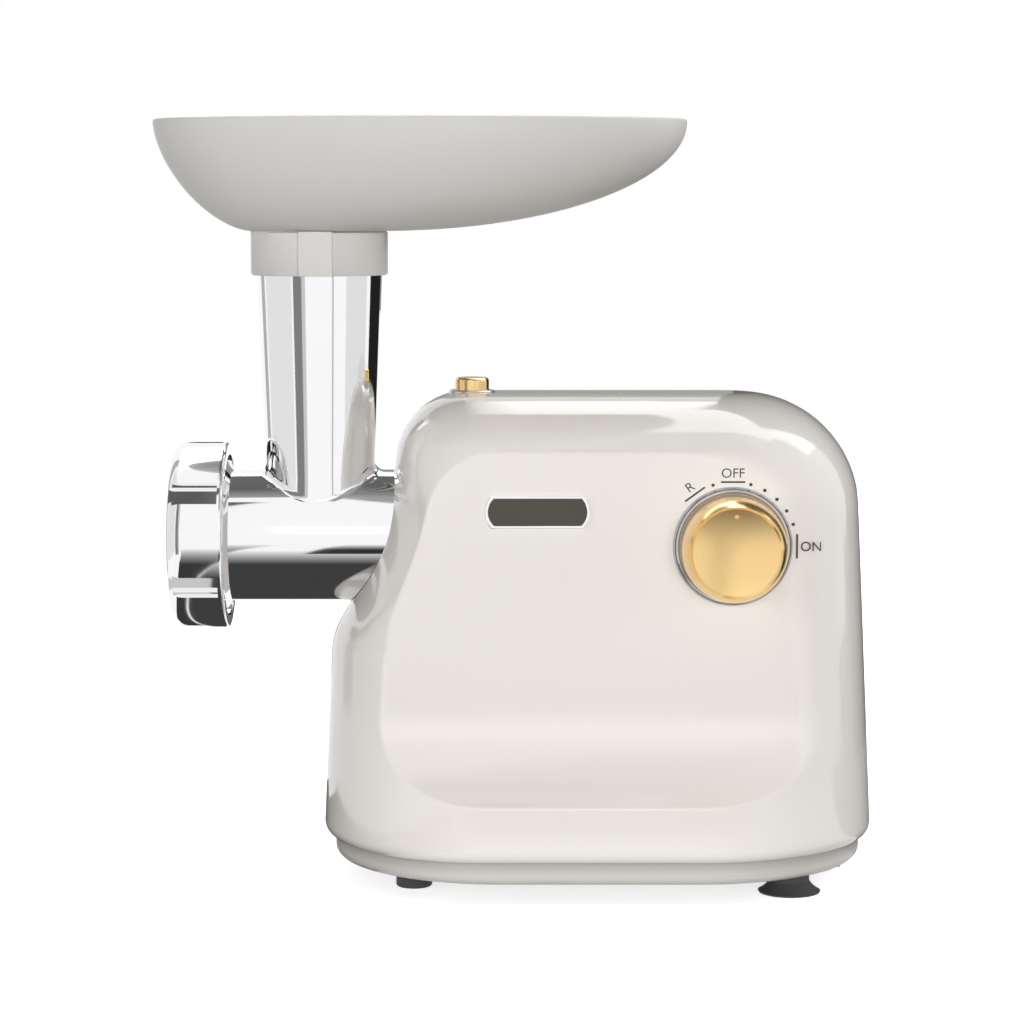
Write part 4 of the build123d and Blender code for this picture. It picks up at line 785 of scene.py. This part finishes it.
class GRINDER_OT_tray(bpy.types.Operator):
    """Models the lift-off tray with a rounded lip and a slip-on collar"""

    bl_idname = "grinder.tray"
    bl_label = "Hopper Tray"

    def execute(self, context):
        size = settings().tray
        mesh = bmesh.new()
        lip = size.wall / 2
        parts = [sin(angle) for angle in eased(0.0, pi / 2, DISH_STEPS)]
        top = size.rim_z - lip
        inner_floor = size.floor_z + size.wall
        rounds = [tray_circle(size, size.throat_radius, size.seat_z + size.fall),
                  tray_circle(size, size.throat_radius, inner_floor - size.edge),
                  tray_circle(size, size.throat_radius + size.edge, inner_floor - size.fall)]
        for part in reversed(parts):
            rounds.append(tray_oval(size, part, size.wall, top - part * (top - inner_floor)))
        for angle in eased(0.0, pi, LIP_STEPS)[1:-1]:
            rounds.append(tray_oval(size, 0.0, lip + lip * cos(angle), top + lip * sin(angle)))
        for part in parts:
            rounds.append(tray_oval(size, part, 0.0, top - part * (top - size.floor_z)))
        foot, collar, bore = size.collar_z, size.collar_radius, size.collar_bore
        rounds += [tray_circle(size, collar, size.floor_z - size.edge),
                   tray_circle(size, collar, foot + size.edge), tray_circle(size, collar - size.edge, foot),
                   tray_circle(size, bore, foot + size.fall), tray_circle(size, bore, size.seat_z)]
        loops = [ring(mesh, points) for points in rounds]
        skin(mesh, loops + [loops[0]])
        rib = bmesh.ops.create_cube(mesh, size=1.0)["verts"]
        rib_depth = size.rib_proud + collar - bore
        rib_height = size.floor_z - foot
        bmesh.ops.scale(mesh, verts=rib, vec=(size.rib_width, rib_depth, rib_height))
        rib_y = -collar - size.rib_proud + rib_depth / 2
        bmesh.ops.translate(mesh, verts=rib, vec=(size.tube_x, rib_y, foot + rib_height / 2))
        edges = list({edge for vert in rib for edge in vert.link_edges})
        bmesh.ops.bevel(mesh, geom=edges, offset=size.edge / 2, affect="EDGES", segments=RIB_EDGE_STEPS,
                        profile=0.5, material=-1)
        make_piece("tray_dish", mesh, "tray", finish("tray_grey"), ("hopper_tray",),
                   ROUND_CREASE)
        return {"FINISHED"}


def badge_outline(size, inset, depth):
    """Points of the badge's outline drawn in by an inset, at a distance off the panel."""
    middle = (BADGE_BOX[0] + BADGE_BOX[1]) / 2
    half_length = (BADGE_BOX[1].x - BADGE_BOX[0].x) / 2 - inset
    half_height = (BADGE_BOX[1].z - BADGE_BOX[0].z) / 2 - inset
    straight = half_length - size.end_bulge
    radius = (half_height**2 + size.end_bulge**2) / (2 * size.end_bulge)
    sweep = asin(half_height / radius)
    right = [(straight + size.end_bulge - radius + radius * cos(angle), radius * sin(angle))
             for angle in eased(-sweep, sweep, BADGE_END_STEPS)]
    left = [(-x, -z) for x, z in right]
    y = BADGE_BOX[1].y - depth
    return [(middle.x + x, y, middle.z + z) for x, z in right + left]


class GRINDER_OT_badge(bpy.types.Operator):
    """Models the bare badge: a dark plate in a bright bead"""

    bl_idname = "grinder.badge"
    bl_label = "Badge"

    def execute(self, context):
        size = settings().trim
        bead = bmesh.new()
        edge, width, proud = size.bead_edge, size.bead_width, size.bead_proud
        outer = [(edge - edge * cos(angle), proud - edge + edge * sin(angle))
                 for angle in eased(0.0, pi / 2, BEAD_EDGE_STEPS)]
        inner = [(width - edge - edge * cos(angle), proud - edge + edge * sin(angle))
                 for angle in eased(pi / 2, pi, BEAD_EDGE_STEPS)]
        section = [(0.0, 0.0), *outer, *inner, (width, 0.0)]
        skin(bead, [ring(bead, badge_outline(size, inset, depth)) for inset, depth in section])
        make_piece("badge_bead", bead, "base", finish("chrome"), ("badge_frame",))
        plate = bmesh.new()
        foot = ring(plate, badge_outline(size, width / 2, 0.0))
        top = ring(plate, badge_outline(size, width / 2, size.plate_proud))
        skin(plate, (foot, top))
        bmesh.ops.edgenet_fill(plate, edges=top)
        make_piece("badge_face", plate, "base", finish("badge"), ("badge_plate",))
        return {"FINISHED"}


class GRINDER_OT_bezel(bpy.types.Operator):
    """Models the ring round the knob with its bright line"""

    bl_idname = "grinder.bezel"
    bl_label = "Knob Ring"

    def execute(self, context):
        size = settings().trim
        radius = (BEZEL_BOX[1].x - BEZEL_BOX[0].x) / 2
        step = size.ring_line / 2
        bore, height = size.ring_bore, size.ring_height
        bead = [(bore + out * step, height - down * step) for out, down in RING_BEAD]
        outline = ((size.ring_hole, 0.0), (radius, 0.0), (radius, height - 4 * step),
                   (radius - step, height - 2 * step), *bead, (bore, size.ring_well),
                   (size.ring_hole, size.ring_well))
        mesh = bmesh.new()
        verts = bmesh.ops.create_circle(mesh, segments=len(outline), radius=1.0)["verts"]
        for vert, (reach, rise) in zip(verts, outline):
            vert.co = DIAL_CENTRE + Vector((reach, -rise, 0.0))
        bmesh.ops.spin(mesh, geom=mesh.verts[:] + mesh.edges[:], cent=DIAL_CENTRE, axis=(0.0, 1.0, 0.0),
                       angle=2 * pi, steps=RING_STEPS, use_merge=True, use_duplicate=False)
        for face in mesh.faces:
            reach = (face.calc_center_median() - DIAL_CENTRE).xz.length
            face.material_index = int(bore + step < reach < bore + 3 * step)
        piece = make_piece("bezel_ring", mesh, "base", finish("bezel"), ("knob_bezel",),
                           ROUND_CREASE)
        piece.data.materials.append(finish("bright_line"))
        return {"FINISHED"}


class GRINDER_OT_spring(bpy.types.Operator):
    """Makes the lock's coil spring, which on the real grinder shortens as the button goes down, from a still copy
    of the imported spring's mesh
    """

    bl_idname = "grinder.spring"
    bl_label = "Lock Spring"

    def execute(self, context):
        mesh = bmesh.new()
        mesh.from_mesh(frame["nodes"]["lock_spring"].data)
        coil = make_piece("lock_coil", mesh, "base", finish("steel"), ("lock_spring",))
        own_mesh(coil)
        return {"FINISHED"}


def flat_word(text, height, place):
    """A word as a thin mesh, standing on a place matrix."""
    curve = bpy.data.curves.new(f"word_{text}", "FONT")
    curve.body = text
    curve.size = height / CAPITAL_SHARE
    curve.align_x = "CENTER"
    curve.extrude = settings().dial.ink / 2
    holder = bpy.data.objects.new(curve.name, curve)
    bpy.context.scene.collection.objects.link(holder)
    bpy.context.view_layer.update()
    data = bpy.data.meshes.new_from_object(holder.evaluated_get(bpy.context.evaluated_depsgraph_get()))
    bpy.data.objects.remove(holder)
    bpy.data.curves.remove(curve)
    data.transform(place)
    return data


class GRINDER_OT_dial(bpy.types.Operator):
    """Prints the dial's dots, bars and words round the speed knob"""

    bl_idname = "grinder.dial"
    bl_label = "Dial Marks"

    def execute(self, context):
        size = settings().dial
        facing = Matrix.Translation(DIAL_CENTRE) @ Matrix.Rotation(pi / 2, 4, "X")
        out = Matrix.Translation((0.0, size.radius, 0.0))
        mesh = bmesh.new()
        for bearing in DIAL_DOTS:
            spot = facing @ Matrix.Rotation(radians(-bearing), 4, "Z") @ out
            bmesh.ops.create_cone(mesh, cap_ends=True, segments=DOT_SEGMENTS, radius1=size.dot_radius,
                                  radius2=size.dot_radius, depth=size.ink, matrix=spot)
        bar = out @ Matrix.Diagonal((size.bar_length, size.bar_width, size.ink, 1.0))
        rise = size.radius + size.bar_width / 2 + size.word_gap
        for bearing, text, upright in DIAL_WORDS:
            turn = facing @ Matrix.Rotation(radians(-bearing), 4, "Z")
            bmesh.ops.create_cube(mesh, size=1.0, matrix=turn @ bar)
            place = turn @ Matrix.Translation((0.0, rise, 0.0))
            if upright:
                place = facing @ Matrix.Translation((rise + size.word_height, -size.word_height / 2, 0.0))
            word = flat_word(text, size.word_height, place)
            mesh.from_mesh(word)
            bpy.data.meshes.remove(word)
        make_piece("dial_marks", mesh, "base", finish("ink"))
        return {"FINISHED"}


class GRINDER_OT_finishes(bpy.types.Operator):
    """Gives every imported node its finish"""

    bl_idname = "grinder.finishes"
    bl_label = "Finishes"

    def execute(self, context):
        for node, slot in node_slots().items():
            materials = frame["nodes"][node].data.materials
            materials.clear()
            materials.append(base_white() if node == "base_cover" else finish(SLOT_FINISHES.get(slot, slot)))
        return {"FINISHED"}


def area_lamp(name, place, aim, width, height, power):
    """A soft rectangular lamp aimed at a point."""
    data = bpy.data.lights.new(name, "AREA")
    data.shape = "RECTANGLE"
    data.size = width
    data.size_y = height
    data.energy = power
    lamp = bpy.data.objects.new(name, data)
    lamp.location = place
    lamp.rotation_euler = (Vector(aim) - Vector(place)).to_track_quat("-Z", "Y").to_euler()
    bpy.context.scene.collection.objects.link(lamp)
    lamp.visible_glossy = False
    lamp.visible_camera = False


def card_material(name, strengths, fade, one_sided):
    """A card's glow, plain or fading along an axis, on both sides or on its front only."""
    made = bpy.data.materials.new(name)
    made.use_nodes = True
    tree = made.node_tree
    tree.nodes.remove(tree.nodes["Principled BSDF"])
    glow = tree.nodes.new("ShaderNodeEmission")
    input_value(glow, "Strength", strengths[0])
    if fade:
        axis, start, end = fade
        place = tree.nodes.new("ShaderNodeTexCoord")
        along = tree.nodes.new("ShaderNodeVectorMath")
        along.operation = "DOT_PRODUCT"
        along.inputs[1].default_value = axis
        tree.links.new(place.outputs["Object"], along.inputs[0])
        level = mapped_range(tree, along.outputs["Value"], *strengths, start, end)
        tree.links.new(level, glow.inputs["Strength"])
    light = glow.outputs["Emission"]
    if one_sided:
        side = tree.nodes.new("ShaderNodeNewGeometry")
        clear = tree.nodes.new("ShaderNodeBsdfTransparent")
        choice = tree.nodes.new("ShaderNodeMixShader")
        tree.links.new(side.outputs["Backfacing"], choice.inputs["Fac"])
        tree.links.new(light, choice.inputs[1])
        tree.links.new(clear.outputs["BSDF"], choice.inputs[2])
        light = choice.outputs["Shader"]
    tree.links.new(light, tree.nodes["Material Output"].inputs["Surface"])
    return made


def stage_piece(name, mesh, material):
    """Turns a bmesh into an object of the stage."""
    data = bpy.data.meshes.new(name)
    mesh.to_mesh(data)
    mesh.free()
    data.materials.append(material)
    piece = bpy.data.objects.new(name, data)
    bpy.context.scene.collection.objects.link(piece)
    return piece


def reflection_card(name, place, facing, width, height, strengths, fade=None, one_sided=False):
    """A card that only shows in reflections."""
    mesh = bmesh.new()
    bmesh.ops.create_grid(mesh, x_segments=1, y_segments=1, size=0.5)
    bmesh.ops.scale(mesh, verts=mesh.verts, vec=(width, height, 1.0))
    turn = Vector(facing).to_track_quat("Z", "Y").to_matrix().to_4x4()
    bmesh.ops.transform(mesh, matrix=Matrix.Translation(place) @ turn, verts=mesh.verts)
    card = stage_piece(name, mesh, card_material(name, strengths, fade, one_sided))
    card.visible_camera = False
    card.visible_diffuse = False
    card.visible_shadow = False
    card.visible_transmission = False


def wall_card(name, first, last, distance, strength):
    """An upright reflection card that fills a range of bearings from the tube."""
    bearing = radians(first + last) / 2
    out = Vector((sin(bearing), -cos(bearing), 0.0))
    place = Vector((settings().tray.tube_x, 0.0, WALL_HEIGHT / 2)) + distance * out
    width = 2 * distance * tan(radians(last - first) / 2)
    reflection_card(name, place, -out, width, WALL_HEIGHT, (strength,))


def combined(tree, operation, first, second):
    """The result of a Math node's operation on two node values."""
    node = tree.nodes.new("ShaderNodeMath")
    node.operation = operation
    tree.links.new(first, node.inputs[0])
    tree.links.new(second, node.inputs[1])
    return node.outputs["Value"]


def white_world(strength):
    """A world that is plain white to the eye and in reflections, and lights matte surfaces less."""
    world = bpy.data.worlds.new("Studio")
    bpy.context.scene.world = world
    world.use_nodes = True
    tree = world.node_tree
    sky = tree.nodes["Background"]
    input_value(sky, "Color", (1.0, 1.0, 1.0, 1.0))
    seen = tree.nodes.new("ShaderNodeLightPath").outputs
    shown = combined(tree, "MAXIMUM", seen["Is Camera Ray"], seen["Is Glossy Ray"])
    shown = combined(tree, "MAXIMUM", shown, seen["Is Transmission Ray"])
    tree.links.new(mapped_range(tree, shown, strength, 1.0), sky.inputs["Strength"])


def floor_material(size):
    """Pale in view, white in reflections and far away, and dull to the light that it throws back."""
    made = bpy.data.materials.new("Floor")
    made.use_nodes = True
    tree = made.node_tree
    shader = tree.nodes["Principled BSDF"]
    input_value(shader, "Roughness", FLOOR_ROUGHNESS)
    input_value(shader, "Specular IOR Level", 0.0)
    seen = tree.nodes.new("ShaderNodeLightPath").outputs
    mirrored = combined(tree, "MAXIMUM", seen["Is Glossy Ray"], seen["Is Transmission Ray"])
    place = tree.nodes.new("ShaderNodeTexCoord")
    reach = tree.nodes.new("ShaderNodeVectorMath")
    reach.operation = "LENGTH"
    tree.links.new(place.outputs["Object"], reach.inputs[0])
    lift = mapped_range(tree, reach.outputs["Value"], size.floor_glow, 1.0,
                        size.floor_radius * size.floor_near, size.floor_radius * size.floor_far)
    pale = mapped_range(tree, seen["Is Camera Ray"], size.floor_bounce, size.floor_pale)
    matte = combined(tree, "MULTIPLY", pale, mapped_range(tree, mirrored, 1.0, 0.0))
    tree.links.new(matte, shader.inputs["Base Color"])
    lifted = combined(tree, "MULTIPLY", lift, seen["Is Camera Ray"])
    input_value(shader, "Emission Color", (1.0, 1.0, 1.0, 1.0))
    tree.links.new(combined(tree, "MAXIMUM", lifted, mirrored), shader.inputs["Emission Strength"])
    return made


def pale_floor(size):
    """A plain pale floor that runs out into the white world and keeps the shadow."""
    mesh = bmesh.new()
    bmesh.ops.create_circle(mesh, cap_ends=True, segments=FLOOR_SEGMENTS, radius=size.floor_radius)
    stage_piece("floor", mesh, floor_material(size))


class GRINDER_OT_stage(bpy.types.Operator):
    """Sets up the camera, the floor, the soft lamps and the reflection cards"""

    bl_idname = "grinder.stage"
    bl_label = "Stage"

    def execute(self, context):
        size = settings().stage
        context.scene.view_settings.view_transform = "Standard"
        data = bpy.data.cameras.new("camera")
        data.lens = size.lens
        data.sensor_width = size.sensor
        camera = bpy.data.objects.new("camera", data)
        camera.location = (size.camera_x, size.camera_y, size.camera_z)
        camera.rotation_euler = (pi / 2 - size.camera_tilt, 0.0, 0.0)
        context.scene.collection.objects.link(camera)
        context.scene.camera = camera
        white_world(size.world_strength)
        pale_floor(size)
        for lamp in LAMPS:
            area_lamp(*lamp)
        for card in CARDS:
            reflection_card(*card)
        for card in WALL_CARDS:
            wall_card(*card)
        return {"FINISHED"}


class GrinderSettings(bpy.types.PropertyGroup):
    """Everything that a user would change."""

    housing: PointerProperty(type=HousingSize)
    tray: PointerProperty(type=TraySize)
    dial: PointerProperty(type=DialSize)
    trim: PointerProperty(type=TrimSize)
    colours: PointerProperty(type=FinishColours)
    stage: PointerProperty(type=StageSize)


class GRINDER_PT_sidebar(bpy.types.Panel):
    """Lists the pieces in the order in which they are made"""

    bl_label = "Meat Grinder"
    bl_idname = "GRINDER_PT_sidebar"
    bl_space_type = "VIEW_3D"
    bl_region_type = "UI"
    bl_category = "Grinder"

    def draw(self, context):
        for operator in PIECES:
            self.layout.operator(operator.bl_idname)


PIECES = (GRINDER_OT_finishes, GRINDER_OT_housing, GRINDER_OT_tray, GRINDER_OT_badge, GRINDER_OT_bezel,
          GRINDER_OT_spring, GRINDER_OT_dial, GRINDER_OT_stage)
CLASSES = (HousingSize, TraySize, DialSize, TrimSize, FinishColours, StageSize, GrinderSettings, *PIECES,
           GRINDER_PT_sidebar)


def register():
    for cls in CLASSES:
        bpy.utils.register_class(cls)
    bpy.types.Scene.meat_grinder = PointerProperty(type=GrinderSettings)


def unregister():
    del bpy.types.Scene.meat_grinder
    for cls in reversed(CLASSES):
        bpy.utils.unregister_class(cls)


def main():
    """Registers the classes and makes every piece."""
    register()
    bpy.ops.grinder.finishes()
    bpy.ops.grinder.housing()
    bpy.ops.grinder.tray()
    bpy.ops.grinder.badge()
    bpy.ops.grinder.bezel()
    bpy.ops.grinder.spring()
    bpy.ops.grinder.dial()
    bpy.ops.grinder.stage()


if __name__ == "__main__":
    main()
